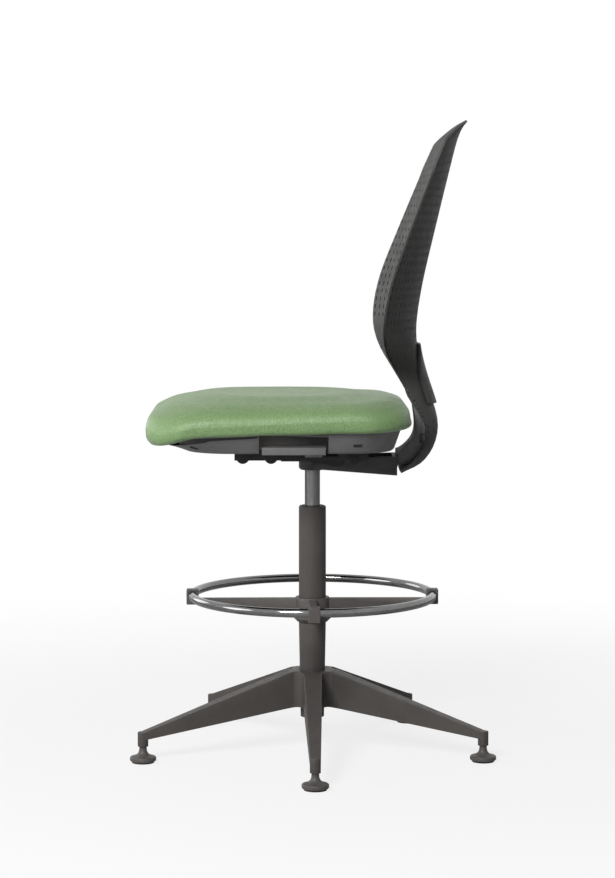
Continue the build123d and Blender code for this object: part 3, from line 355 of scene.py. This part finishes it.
def green_vinyl():
    """Upholstery vinyl with a pebbled grain, painted shade in the grain's creases, and a soft sheen."""
    finish = Finish("green_vinyl", (0.135, 0.228, 0.086), 0.5)
    broad = finish.grain(0.09, 3)
    warped = finish.warped(0.0016, 0.004)
    pebble = finish.pebbles(0.0034, warped)
    shade = finish.blend(finish.spread(broad, 0, 1), (0.126, 0.208, 0.083), (0.157, 0.248, 0.106))
    # Painted shade: the colour darkens in the creases between the grain's pebbles, where shade would fall
    painted_crease_shade = finish.spread(pebble, 1, 0, 0.25, 0.75)
    finish.colour_from(finish.blend(painted_crease_shade, (0.105, 0.184, 0.066), shade))
    finish.roughness_from(finish.spread(finish.grain(0.012, 3), 0.46, 0.6))
    finish.bump(finish.grain(0.03, 2), 0.0009, 0.5)
    finish.bump(pebble, 0.00042, 0.75, invert=True)
    finish.bump(finish.grain(0.0009, 2), 0.0001, 0.5)
    return finish.done(
        Specular_IOR_Level=0.5,
        Sheen_Weight=0.12,
        Sheen_Roughness=0.5,
        Sheen_Tint=(0.95, 1, 0.92, 1),
    )


def moulded_plastic(name, colour, roughness, texture_size=0.0007, specular=0.25):
    """Moulded plastic with a fine spark-eroded texture and slight flow marks."""
    finish = Finish(name, colour, roughness)
    darker = tuple(0.86 * value for value in colour)
    lighter = tuple(1.12 * value for value in colour)
    finish.colour_from(finish.blend(finish.spread(finish.grain(0.05, 4), 0, 1), darker, lighter))
    finish.roughness_from(finish.spread(finish.grain(0.02, 4), roughness - 0.05, roughness + 0.07))
    finish.bump(finish.grain(0.02, 2), 0.0003, 0.25)
    finish.bump(finish.pebbles(texture_size), 0.00009, 0.7)
    return finish.done(Specular_IOR_Level=specular)


def powder_coat(name, colour, roughness):
    """Powder coat: orange-peel relief, fine flecks and a satin gloss."""
    finish = Finish(name, colour, roughness)
    darker = tuple(0.88 * value for value in colour)
    lighter = tuple(1.1 * value for value in colour)
    base = finish.blend(finish.spread(finish.grain(0.07, 4), 0, 1), darker, lighter)
    flecks = finish.spread(finish.grain(0.0011, 1), 0, 0.5, 0.62, 0.78)
    finish.colour_from(finish.blend(flecks, base, tuple(1.6 * value for value in colour)))
    finish.roughness_from(finish.spread(finish.grain(0.015, 3), roughness - 0.05, roughness + 0.06))
    finish.bump(finish.grain(0.0022, 1.5), 0.00016, 0.6)
    return finish.done(Specular_IOR_Level=0.12)


def polished_chrome():
    """Bright chrome with faint wiping marks."""
    finish = Finish("chrome", (0.18, 0.18, 0.182), 0.07, 1.0)
    smears = finish.grain(0.02, 5, 0.6, finish.mapped((1, 1, 4)))
    finish.roughness_from(finish.spread(smears, 0.05, 0.15))
    finish.colour_from(finish.blend(finish.spread(smears, 0, 1), (0.15, 0.15, 0.152), (0.21, 0.208, 0.206)))
    finish.bump(finish.grain(0.05, 2), 0.0002, 0.1)
    return finish.done()


def dark_chrome():
    """Ground and dark chromed cylinder, with fine rings left by the grinding."""
    finish = Finish("dark_chrome", (0.21, 0.21, 0.212), 0.2, 1.0)
    rings = finish.grain(0.0012, 3, 0.6, finish.mapped((0.02, 0.02, 1)))
    finish.roughness_from(finish.spread(rings, 0.14, 0.28))
    finish.colour_from(finish.blend(finish.spread(rings, 0, 1), (0.19, 0.19, 0.192), (0.25, 0.248, 0.245)))
    finish.bump(rings, 0.00003, 0.5)
    return finish.done()


def plated_steel():
    """Zinc plated steel with a faint yellowish cast and brushed streaks."""
    finish = Finish("plated_steel", (0.5, 0.5, 0.49), 0.35, 1.0)
    streaks = finish.grain(0.002, 3, 0.6, finish.mapped((0.1, 1, 1)))
    finish.colour_from(finish.blend(finish.spread(streaks, 0, 1), (0.43, 0.43, 0.42), (0.56, 0.555, 0.54)))
    finish.roughness_from(finish.spread(streaks, 0.28, 0.42))
    finish.bump(streaks, 0.00004, 0.5)
    return finish.done()


def plywood():
    """Beech plywood: long grain, with pores and darker plies."""
    finish = Finish("plywood", (0.55, 0.4, 0.25), 0.65)
    fibres = finish.grain(0.006, 4, 0.6, finish.mapped((1, 0.06, 1)))
    plies = finish.grain(0.0014, 0, 0.5, finish.mapped((0.01, 0.01, 1)))
    wood = finish.blend(finish.spread(fibres, 0, 1), (0.47, 0.33, 0.19), (0.62, 0.46, 0.3))
    finish.colour_from(finish.blend(finish.spread(plies, 0, 0.5), wood, (0.36, 0.23, 0.12)))
    finish.bump(fibres, 0.0002, 0.5)
    return finish.done()


def soft_rubber():
    """Matte black rubber, slightly dusty."""
    finish = Finish("soft_rubber", (0.03, 0.03, 0.03), 0.8)
    dust = finish.spread(finish.grain(0.01, 4), 0, 1)
    finish.colour_from(finish.blend(dust, (0.024, 0.024, 0.024), (0.045, 0.044, 0.042)))
    finish.bump(finish.grain(0.0008, 2), 0.0001, 0.7)
    return finish.done(Specular_IOR_Level=0.3)


finishes = {
    "green_vinyl": green_vinyl(),
    "powder_coat": powder_coat("powder_coat", (0.06, 0.055, 0.052), 0.42),
    "dark_nylon": moulded_plastic("dark_nylon", (0.062, 0.057, 0.054), 0.45),
    "black_plastic": moulded_plastic("black_plastic", (0.02, 0.02, 0.02), 0.5),
    "chrome": polished_chrome(),
    "dark_chrome": dark_chrome(),
    "steel": plated_steel(),
    "black_steel": powder_coat("black_steel", (0.03, 0.03, 0.031), 0.45),
    "cast_housing": powder_coat("cast_housing", (0.06, 0.058, 0.057), 0.45),
    "rubber": soft_rubber(),
    "shell_plastic": moulded_plastic("shell_plastic", (0.1, 0.098, 0.098), 0.48, 0.0009),
    "back_plastic": moulded_plastic("back_plastic", (0.04, 0.039, 0.038), 0.5, 0.0009, 0.2),
    "plywood": plywood(),
}
for row in frame["record"]["subparts"]:
    node = frame["nodes"][row["node"]]
    node.data.materials.clear()
    node.data.materials.append(finishes[row["material_slot"]])


# Cushion: a stuffed cover over the board, drawn down to the shell's rim
def stuff(piece):
    """Swells the piece by cloth pressure, with its underside held, and caps how far a point moves."""
    start = [vertex.co.copy() for vertex in piece.data.vertices]
    outward_then = outward_of(piece)
    held = piece.vertex_groups.new(name="held")
    below = [index for index, outward in enumerate(outward_then) if outward.z < held_below]
    held.add(below, 1.0, "REPLACE")
    cloth = piece.modifiers.new("cover", "CLOTH")
    cloth.settings.use_pressure = True
    cloth.settings.uniform_pressure_force = cushion_pressure
    cloth.settings.effector_weights.gravity = 0
    cloth.settings.vertex_group_mass = "held"
    cloth.settings.tension_stiffness = cushion_stiffness
    cloth.settings.compression_stiffness = cushion_stiffness
    for step in range(1, cushion_frames + 1):
        bpy.context.scene.frame_set(step)
    apply_modifiers(piece)
    bpy.context.scene.frame_set(1)
    for vertex, rest, outward in zip(piece.data.vertices, start, outward_then):
        swell = (vertex.co - rest).dot(outward)
        most = cushion_side_cap + (cushion_cap - cushion_side_cap) * max(outward.z, 0)
        vertex.co = rest + outward * min(max(swell, 0), most)


def value_at(pairs, place):
    """Reads a value between the given (place, value) pairs, and holds the end values beyond them."""
    if place <= pairs[0][0]:
        return pairs[0][1]
    for (low, first), (high, second) in zip(pairs, pairs[1:]):
        if place <= high:
            return first + (second - first) * (place - low) / (high - low)
    return pairs[-1][1]


def seam_plane(y):
    """Height of the flat seam that the CAD shell and cushion share."""
    (near, low), (far, high) = seam_ends
    return low + (high - low) * (y - near) / (far - near)


def seam_lift(y):
    """How far the sewn seam bows above the flat one."""
    y = min(max(y, seam_bow[0][0]), seam_bow[-1][0])
    for (near, low), (far, high) in zip(seam_bow, seam_bow[1:]):
        if y <= far:
            break
    share = (y - near) / (far - near)
    return low + (high - low) * share * share * (3 - 2 * share)


def seam_height(y):
    return seam_plane(y) + seam_lift(y)


def gather_hem(piece):
    """Small puckers where the cover is drawn under the rim."""
    for vertex, outward in zip(piece.data.vertices, outward_of(piece)):
        rise = vertex.co.z - seam_height(vertex.co.y)
        if 0 < rise < hem_height and outward.z < hem_facing:
            fade = sin(pi * rise / hem_height)
            wave = noise.noise(Vector((vertex.co.x, vertex.co.y, hem_stretch * vertex.co.z)) / hem_pitch)
            vertex.co += outward * (hem_pucker * fade * wave)


def make_cushion():
    cushion = node_copy("seat_cushion", "cushion_cover")
    remesh = cushion.modifiers.new("even", "REMESH")
    remesh.mode = "VOXEL"
    remesh.voxel_size = cushion_voxel
    even = cushion.modifiers.new("relax", "SMOOTH")
    even.factor = smoothing_factor
    even.iterations = cushion_even_rounds
    apply_modifiers(cushion)
    crown = cushion.vertex_groups.new(name="crown")
    for index, outward in enumerate(outward_of(cushion)):
        crown.add([index], value_at(crown_hold, outward.z), "REPLACE")
    flatten = cushion.modifiers.new("crown", "SMOOTH")
    flatten.vertex_group = "crown"
    flatten.factor = smoothing_factor
    flatten.iterations = crown_smoothing
    apply_modifiers(cushion)
    for vertex, outward in zip(cushion.data.vertices, outward_of(cushion)):
        rise = vertex.co.z - seam_plane(vertex.co.y)
        vertex.co.z -= value_at(crown_drop, vertex.co.y) * value_at(drop_share, rise)
        if rise < seam_reach:
            vertex.co.z += seam_lift(vertex.co.y) * (1 - max(rise, 0) / seam_reach)
        flat = Vector((outward.x, outward.y, 0))
        if rise > trim_lowest and flat.length > trim_least_slope:
            steepness = min(flat.length / trim_full_slope, 1)
            flat.normalize()
            ends = front_trim if flat.y < 0 else rear_trim
            shift = flat.x ** 2 * value_at(side_trim, rise) + flat.y ** 2 * value_at(ends, rise)
            vertex.co += flat * (steepness * shift)
    stuff(cushion)
    settle = cushion.modifiers.new("settle", "SMOOTH")
    settle.vertex_group = "crown"
    settle.factor = smoothing_factor
    settle.iterations = crown_settling
    for turn in range(cushion_relax_rounds):
        for factor in cushion_relax_factors:
            relax = cushion.modifiers.new("relax", "SMOOTH")
            relax.factor = factor
    divide = cushion.modifiers.new("divide", "SUBSURF")
    divide.levels = divide.render_levels = 1
    apply_modifiers(cushion)
    gather_hem(cushion)
    smooth(cushion, 180)
    stand_for(cushion, "seat_cushion", finishes["green_vinyl"])


make_cushion()


# Board: drawn in a little from the cover's edge, and bowed with the seam
def make_board():
    board = node_copy("seat_board", "board_inside")
    low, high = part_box("seat_board")
    middle = (low.y + high.y) / 2
    for vertex in board.data.vertices:
        vertex.co.x *= board_share
        vertex.co.y = middle + (vertex.co.y - middle) * board_share
        vertex.co.z += seam_lift(vertex.co.y)
    smooth(board, 30)
    stand_for(board, "seat_board", finishes["plywood"])


make_board()


# Back shell: a grid laid on the CAD shell's front face, with slots opened in it
def tree_of(mesh):
    """The mesh's faces, ready for rays to be cast at them."""
    points = [vertex.co.copy() for vertex in mesh.vertices]
    return BVHTree.FromPolygons(points, [tuple(face.vertices) for face in mesh.polygons])


def make_back():
    shell = tree_of(frame["nodes"]["back_shell"].data)
    bend_y, bend_z = back_bend_centre

    def hit(x, y, z, direction):
        """Where a ray meets the shell's front; in a vent or hole, what the shell beside it gives."""
        way = Vector(direction)
        met, facing = shell.ray_cast(Vector((x, y, z)), way)[:2]
        if met is not None and facing.dot(way) < vent_wall_facing:
            return met
        for span in hole_spans:
            left, left_facing = shell.ray_cast(Vector((x - span, y, z)), way)[:2]
            right, right_facing = shell.ray_cast(Vector((x + span, y, z)), way)[:2]
            if left and right and max(left_facing.dot(way), right_facing.dot(way)) < vent_wall_facing:
                bulge = span * span * vent_bulge
                return (left + right) / 2 + way * bulge
        return None

    def on_bend(x, angle):
        return hit(x, bend_y, bend_z, (0, cos(angle), sin(angle)))

    def on_back(x, z):
        return hit(x, 0, z, (0, 1, 0))

    def widest(found):
        low, high = 0.0, back_reach_limit
        for halving in range(16):
            middle = (low + high) / 2
            low, high = (middle, high) if found(middle) else (low, middle)
        return low - back_inset

    def bend_row(angle):
        half = widest(lambda x: on_bend(x, angle))
        return lambda share: on_bend(share * half, angle)

    def level_row(z):
        half = widest(lambda x: on_back(x, z))
        return lambda share: on_back(share * half, z)

    # Rows up the spine: round the bend, up the back, then over the rounded top
    rows = []
    for step in range(back_bend_rows + 1):
        rows.append(bend_row(radians(back_bend_start * (1 - step / back_bend_rows) - back_bend_nudge)))
    level_count = round((back_top_zone - bend_z) / back_row_pitch)
    levels = [bend_z + (back_top_zone - bend_z) * step / level_count for step in range(1, level_count + 1)]
    for level in levels:
        rows.append(level_row(level))
    top_half = widest(lambda x: on_back(x, back_top_zone))
    lower_half = widest(lambda x: on_back(x, back_top_zone - back_taper_span))
    taper = (lower_half - top_half) / back_taper_span

    def outline_half(z):
        return top_half - taper * (z - back_top_zone)

    def top_of(share):
        low, high = back_top_zone, back_height_limit
        for halving in range(18):
            middle = (low + high) / 2
            low, high = (middle, high) if on_back(share * outline_half(middle), middle) else (low, middle)
        return low - back_inset

    def over_top(share, rise):
        z = back_top_zone + (top_of(share) - back_top_zone) * rise
        return on_back(share * outline_half(z), z)

    for step in range(1, back_top_rows + 1):
        rows.append(lambda share, rise=step / back_top_rows: over_top(share, rise))
    last_rise = 1 - back_edge_row / back_edge_span
    rows.insert(-1, lambda share: over_top(share, last_rise))

    inner_width = 2 - 2 * back_edge_share
    inner = [-1 + back_edge_share + inner_width * step / back_columns for step in range(back_columns + 1)]
    shares = [-1.0] + inner + [1.0]

    bpy.ops.object.select_all(action="DESELECT")
    bpy.ops.mesh.primitive_grid_add(x_subdivisions=len(shares) - 1, y_subdivisions=len(rows) - 1, size=2)
    back = bpy.context.object
    back.name = "back_perforated"
    mesh = back.data
    columns, count = len(shares) - 1, len(rows) - 1
    cells = {}
    for face in mesh.polygons:
        column = int((face.center.x + 1) / 2 * columns)
        row = int((face.center.y + 1) / 2 * count)
        cells[face.index] = (column, row)
    for vertex in mesh.vertices:
        column = round((vertex.co.x + 1) / 2 * columns)
        row = round((vertex.co.y + 1) / 2 * count)
        vertex.co = rows[row](shares[column])
    mesh.update()

    # Slots in every other cell, like a chequerboard, where the cells are wide enough
    for face in mesh.polygons:
        column, row = cells[face.index]
        corners = [mesh.vertices[index].co for index in face.vertices]
        cell_width = max(abs(a.x - b.x) for a in corners for b in corners)
        middle = face.center
        inside = slot_zone[0] < middle.z < slot_zone[1]
        clear_of_edge = slot_margin_columns <= column < columns - slot_margin_columns
        covered = abs(middle.x) < cover_half_width and middle.z < cover_top
        open_here = inside and clear_of_edge and not covered and cell_width > slot_least_cell
        face.select = (column + row) % 2 == 0 and open_here
    pick(back)
    bpy.ops.object.mode_set(mode="EDIT")
    bpy.ops.mesh.select_mode(type="FACE")
    bpy.ops.mesh.inset(thickness=slot_first_inset, use_individual=True)
    bpy.ops.object.mode_set(mode="OBJECT")
    for face in [f for f in mesh.polygons if f.select]:
        corners = [mesh.vertices[index] for index in face.vertices]
        middle = face.center.copy()
        rise = (middle.z - slot_full_height) / (slot_zone[1] - slot_full_height)
        share = 1 - (1 - slot_end_share) * min(max(rise, 0), 1)
        up = sum((v.co for v in sorted(corners, key=lambda v: v.co.z)[2:]), Vector()) / 2 - middle
        across = sum((v.co for v in sorted(corners, key=lambda v: v.co.x)[2:]), Vector()) / 2 - middle
        up.normalize()
        across.normalize()
        for vertex in corners:
            offset = vertex.co - middle
            sign_up = 1 if offset.dot(up) > 0 else -1
            sign_across = 1 if offset.dot(across) > 0 else -1
            half_width, half_height = (size / 2 * share for size in slot_full_size)
            vertex.co = middle + up * (sign_up * half_height) + across * (sign_across * half_width)
    bpy.ops.object.mode_set(mode="EDIT")
    bpy.ops.mesh.delete(type="FACE")
    bpy.ops.mesh.select_all(action="SELECT")
    bpy.ops.mesh.normals_make_consistent(inside=False)
    bpy.ops.object.mode_set(mode="OBJECT")
    facing = sum(face.normal.y * face.area for face in mesh.polygons)
    if facing > 0:
        bpy.ops.object.mode_set(mode="EDIT")
        bpy.ops.mesh.flip_normals()
        bpy.ops.object.mode_set(mode="OBJECT")
    wall = back.modifiers.new("wall", "SOLIDIFY")
    wall.thickness = back_thickness
    wall.offset = -1
    wall.edge_crease_inner = back_rim_crease
    wall.edge_crease_outer = back_rim_crease
    divide = back.modifiers.new("divide", "SUBSURF")
    divide.levels = divide.render_levels = 1
    apply_modifiers(back)
    smooth(back, 50)
    stand_for(back, "back_shell", finishes["back_plastic"])


make_back()


# Rigid pieces whose edges the maker has rounded: copies of their CAD solids with bevelled edges
shell_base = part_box("seat_shell")[0].z


def bow_rim(piece):
    """Cuts the shell at even steps, lifts its rim to the sewn seam and carries its nose forward."""
    (near, low), (far, high) = seam_ends
    bpy.ops.object.mode_set(mode="EDIT")
    bpy.ops.mesh.select_all(action="SELECT")
    bpy.ops.mesh.quads_convert_to_tris()
    for depth in rim_bands:
        bpy.ops.mesh.select_all(action="SELECT")
        bpy.ops.mesh.bisect(plane_co=(0, near, low - depth), plane_no=(0, low - high, far - near))
    for step in range(1, rim_cuts):
        bpy.ops.mesh.select_all(action="SELECT")
        bpy.ops.mesh.bisect(plane_co=(0, near + (far - near) * step / rim_cuts, 0), plane_no=(0, 1, 0))
    bpy.ops.object.mode_set(mode="OBJECT")
    for vertex in piece.data.vertices:
        share = min(max((vertex.co.z - shell_base) / (seam_plane(vertex.co.y) - shell_base), 0), 1)
        vertex.co.z += (seam_lift(vertex.co.y) + rim_overlap) * share
        vertex.co.y -= value_at(nose_share, vertex.co.y) * (nose_low + (nose_high - nose_low) * share)


def round_edges(node, width, slot):
    piece = node_copy(node, node + "_rounded")
    pick(piece)
    bpy.ops.object.mode_set(mode="EDIT")
    bpy.ops.mesh.select_all(action="SELECT")
    if node != "seat_shell":
        bpy.ops.mesh.dissolve_limited(angle_limit=radians(flat_angle))
    bpy.ops.object.mode_set(mode="OBJECT")
    bevel = piece.modifiers.new("edges", "BEVEL")
    bevel.limit_method = "ANGLE"
    bevel.angle_limit = radians(edge_least_angle)
    bevel.width = width
    bevel.segments = edge_segments
    bevel.use_clamp_overlap = True
    apply_modifiers(piece)
    if node == "seat_shell":
        bow_rim(piece)
    smooth(piece, edge_least_angle)
    stand_for(piece, node, finishes[slot])


edge_widths = {
    "seat_shell": 0.004,
    "star_base": 0.0012,
    "ring_hub": 0.0012,
    "ring_lock_nut": 0.0007,
    "mech_housing": 0.0012,
    "seat_frame": 0.0008,
    "back_arm": 0.0012,
    "back_carrier": 0.0016,
    "height_lever": 0.0009,
    "lock_lever": 0.0009,
    "rear_cover": 0.0014,
}
slots = {row["node"]: row["material_slot"] for row in frame["record"]["subparts"]}
for node, width in edge_widths.items():
    round_edges(node, width, slots[node])
for number in range(1, 5):
    round_edges(f"ring_clip_{number}", ring_clip_edge, "dark_nylon")


# Recline springs: smooth-shaded copies of the wound CAD springs, each on its node's body. On the stool they
# shorten against the seat frame as the back leans; these copies keep their shape
def make_spring(side):
    node = f"recline_spring_{side}"
    spring = node_copy(node, f"{node}_wound")
    smooth(spring, 60)
    stand_for(spring, node, finishes["steel"])
    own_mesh(spring)


for side in ("left", "right"):
    make_spring(side)


# Painted shade: black strips just behind the shell's side walls, over the slit that is open in them, so that
# the slit shows dark as if shaded
def make_shade_strip(side):
    wall = tree_of(bpy.data.objects["seat_shell_rounded"].data)

    def wall_below(y, top):
        """First height at or below the top where the wall stands, and its distance from the middle."""
        for step in range(shade_strip_tries):
            z = top - shade_strip_hunt * step
            met = wall.ray_cast(Vector((side * shade_strip_ray_start, y, z)), Vector((-side, 0, 0)))[0]
            if met and side * met.x > shade_strip_least:
                return side * met.x - shade_strip_inset, z
        return None

    places = []
    for step in range(shade_strip_steps + 1):
        y = shade_strip_front + (shade_strip_rear - shade_strip_front) * step / shade_strip_steps
        high = wall_below(y, seam_height(y) + rim_overlap / 2)
        low = wall_below(y, high[1] - shade_strip_depth) if high else None
        if low:
            places.append((y, low, high))
    bpy.ops.object.select_all(action="DESELECT")
    bpy.ops.mesh.primitive_grid_add(x_subdivisions=len(places) - 1, y_subdivisions=1, size=2)
    painted_shade_strip = bpy.context.object
    painted_shade_strip.name = "shell_shade_strip_left" if side > 0 else "shell_shade_strip_right"
    for vertex in painted_shade_strip.data.vertices:
        y, low, high = places[round((vertex.co.x + 1) / 2 * (len(places) - 1))]
        reach, z = high if vertex.co.y > 0 else low
        vertex.co = (side * reach, y, z)
    thick = painted_shade_strip.modifiers.new("wall", "SOLIDIFY")
    thick.thickness = shade_strip_inset
    thick.offset = 0
    apply_modifiers(painted_shade_strip)
    # Painted shade: the strip is black to stand in for the shade seen through the slit
    painted_shade_strip.data.materials.append(finishes["black_plastic"])
    smooth(painted_shade_strip, 40)
    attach(painted_shade_strip, body_of("seat_shell"))


for side in (-1, 1):
    make_shade_strip(side)


# Side slots: small dark mouldings on the shell's walls
def make_side_slot(wall, side, number, y, z):
    start = Vector((side * side_slot_ray_start, y, z))
    met, outward = wall.ray_cast(start, Vector((-side, 0, 0)))[:2]
    bpy.ops.object.select_all(action="DESELECT")
    bpy.ops.mesh.primitive_cylinder_add(
        vertices=side_slot_corners, radius=side_slot_width / 2, depth=side_slot_depth
    )
    slot = bpy.context.object
    slot.name = f"side_slot_{'right' if side < 0 else 'left'}_{number}"
    reach = (side_slot_length - side_slot_width) / 2
    for vertex in slot.data.vertices:
        vertex.co.x += reach if vertex.co.x > 0 else -reach
    for face in slot.data.polygons:
        face.select = face.normal.z > side_slot_facing
    sink = -side_slot_hollow * side_slot_depth / 2
    bpy.ops.object.mode_set(mode="EDIT")
    bpy.ops.mesh.select_mode(type="FACE")
    bpy.ops.mesh.inset(thickness=side_slot_lip)
    bpy.ops.mesh.extrude_region_move(TRANSFORM_OT_translate={"value": (0, 0, sink)})
    bpy.ops.object.mode_set(mode="OBJECT")
    along = (Vector((0, 1, 0)) - outward * outward.y).normalized()
    turn = Matrix((along, outward.cross(along), outward)).transposed().to_4x4()
    slot.data.transform(Matrix.Translation(met) @ turn)
    slot.data.materials.append(finishes["black_plastic"])
    smooth(slot, 40)
    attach(slot, body_of("seat_shell"))


def make_side_slots():
    wall = tree_of(bpy.data.objects["seat_shell_rounded"].data)
    for side in (-1, 1):
        for number, (y, z) in enumerate(side_slot_places, 1):
            make_side_slot(wall, side, number, y, z)


make_side_slots()

# Steel pieces of the mechanism that are blackened
for node in ("brake_pad", "pivot_shaft", "lever_pin_left", "lever_pin_right"):
    frame["nodes"][node].data.materials[0] = finishes["black_steel"]


# Stage: a pale floor that turns white away from the stool, and a white surround
def make_floor():
    bpy.ops.object.select_all(action="DESELECT")
    bpy.ops.mesh.primitive_plane_add(size=floor_size)
    floor = bpy.context.object
    floor.name = "floor"
    material = bpy.data.materials.new("floor_paper")
    material.use_nodes = True
    nodes, links = material.node_tree.nodes, material.node_tree.links
    paper = nodes["Principled BSDF"]
    paper.inputs["Base Color"].default_value = (floor_grey, floor_grey, floor_grey, 1)
    paper.inputs["Roughness"].default_value = floor_roughness
    paper.inputs["Specular IOR Level"].default_value = floor_specular
    white = nodes.new("ShaderNodeEmission")
    place = nodes.new("ShaderNodeTexCoord")
    reach = nodes.new("ShaderNodeVectorMath")
    reach.operation = "LENGTH"
    links.new(place.outputs["Object"], reach.inputs[0])
    fade = nodes.new("ShaderNodeMapRange")
    fade.interpolation_type = "SMOOTHSTEP"
    fade.inputs["From Min"].default_value = floor_fade[0]
    fade.inputs["From Max"].default_value = floor_fade[1]
    fade.inputs["To Min"].default_value = floor_fade_least
    links.new(reach.outputs["Value"], fade.inputs["Value"])
    path = nodes.new("ShaderNodeLightPath")
    seen = nodes.new("ShaderNodeMath")
    seen.operation = "MULTIPLY"
    links.new(path.outputs["Is Camera Ray"], seen.inputs[0])
    links.new(fade.outputs["Result"], seen.inputs[1])
    mix = nodes.new("ShaderNodeMixShader")
    links.new(seen.outputs["Value"], mix.inputs["Fac"])
    links.new(paper.outputs["BSDF"], mix.inputs[1])
    links.new(white.outputs["Emission"], mix.inputs[2])
    links.new(mix.outputs["Shader"], nodes["Material Output"].inputs["Surface"])
    floor.data.materials.append(material)


def make_surround():
    world = bpy.data.worlds.new("surround")
    bpy.context.scene.world = world
    world.use_nodes = True
    nodes, links = world.node_tree.nodes, world.node_tree.links
    glow = nodes["Background"]
    glow.inputs["Color"].default_value = (1, 1, 1, 1)
    path = nodes.new("ShaderNodeLightPath")
    shown = None
    for ray in ("Is Camera Ray", "Is Glossy Ray", "Is Transmission Ray"):
        if shown is None:
            shown = path.outputs[ray]
            continue
        either = nodes.new("ShaderNodeMath")
        either.operation = "MAXIMUM"
        links.new(shown, either.inputs[0])
        links.new(path.outputs[ray], either.inputs[1])
        shown = either.outputs["Value"]
    level = nodes.new("ShaderNodeMapRange")
    level.inputs["To Min"].default_value = surround_level
    level.inputs["To Max"].default_value = 1.0
    links.new(shown, level.inputs["Value"])
    links.new(level.outputs["Result"], glow.inputs["Strength"])


def area_light(name, place, aim, size, power):
    lamp = bpy.data.lights.new(name, "AREA")
    lamp.shape = "DISK"
    lamp.size = size
    lamp.energy = power
    holder = bpy.data.objects.new(name, lamp)
    bpy.context.scene.collection.objects.link(holder)
    holder.location = place
    holder.rotation_euler = (Vector(aim) - Vector(place)).to_track_quat("-Z", "Y").to_euler()


def make_camera():
    camera = bpy.data.cameras.new("camera")
    camera.sensor_width = sensor_long_side
    camera.lens = camera_focal_px / max(photo_width, photo_height) * sensor_long_side
    camera.clip_end = camera_far_end
    holder = bpy.data.objects.new("camera", camera)
    bpy.context.scene.collection.objects.link(holder)
    turn = -camera_turn
    holder.location = (
        camera_distance * cos(turn) - camera_side * sin(turn),
        camera_distance * sin(turn) + camera_side * cos(turn),
        camera_height,
    )
    holder.rotation_euler = (pi / 2 - camera_pitch, 0, pi / 2 + turn)
    bpy.context.scene.camera = holder


make_floor()
make_surround()
for lamp in lamps:
    area_light(*lamp)
make_camera()
bpy.context.scene.view_settings.view_transform = "Standard"
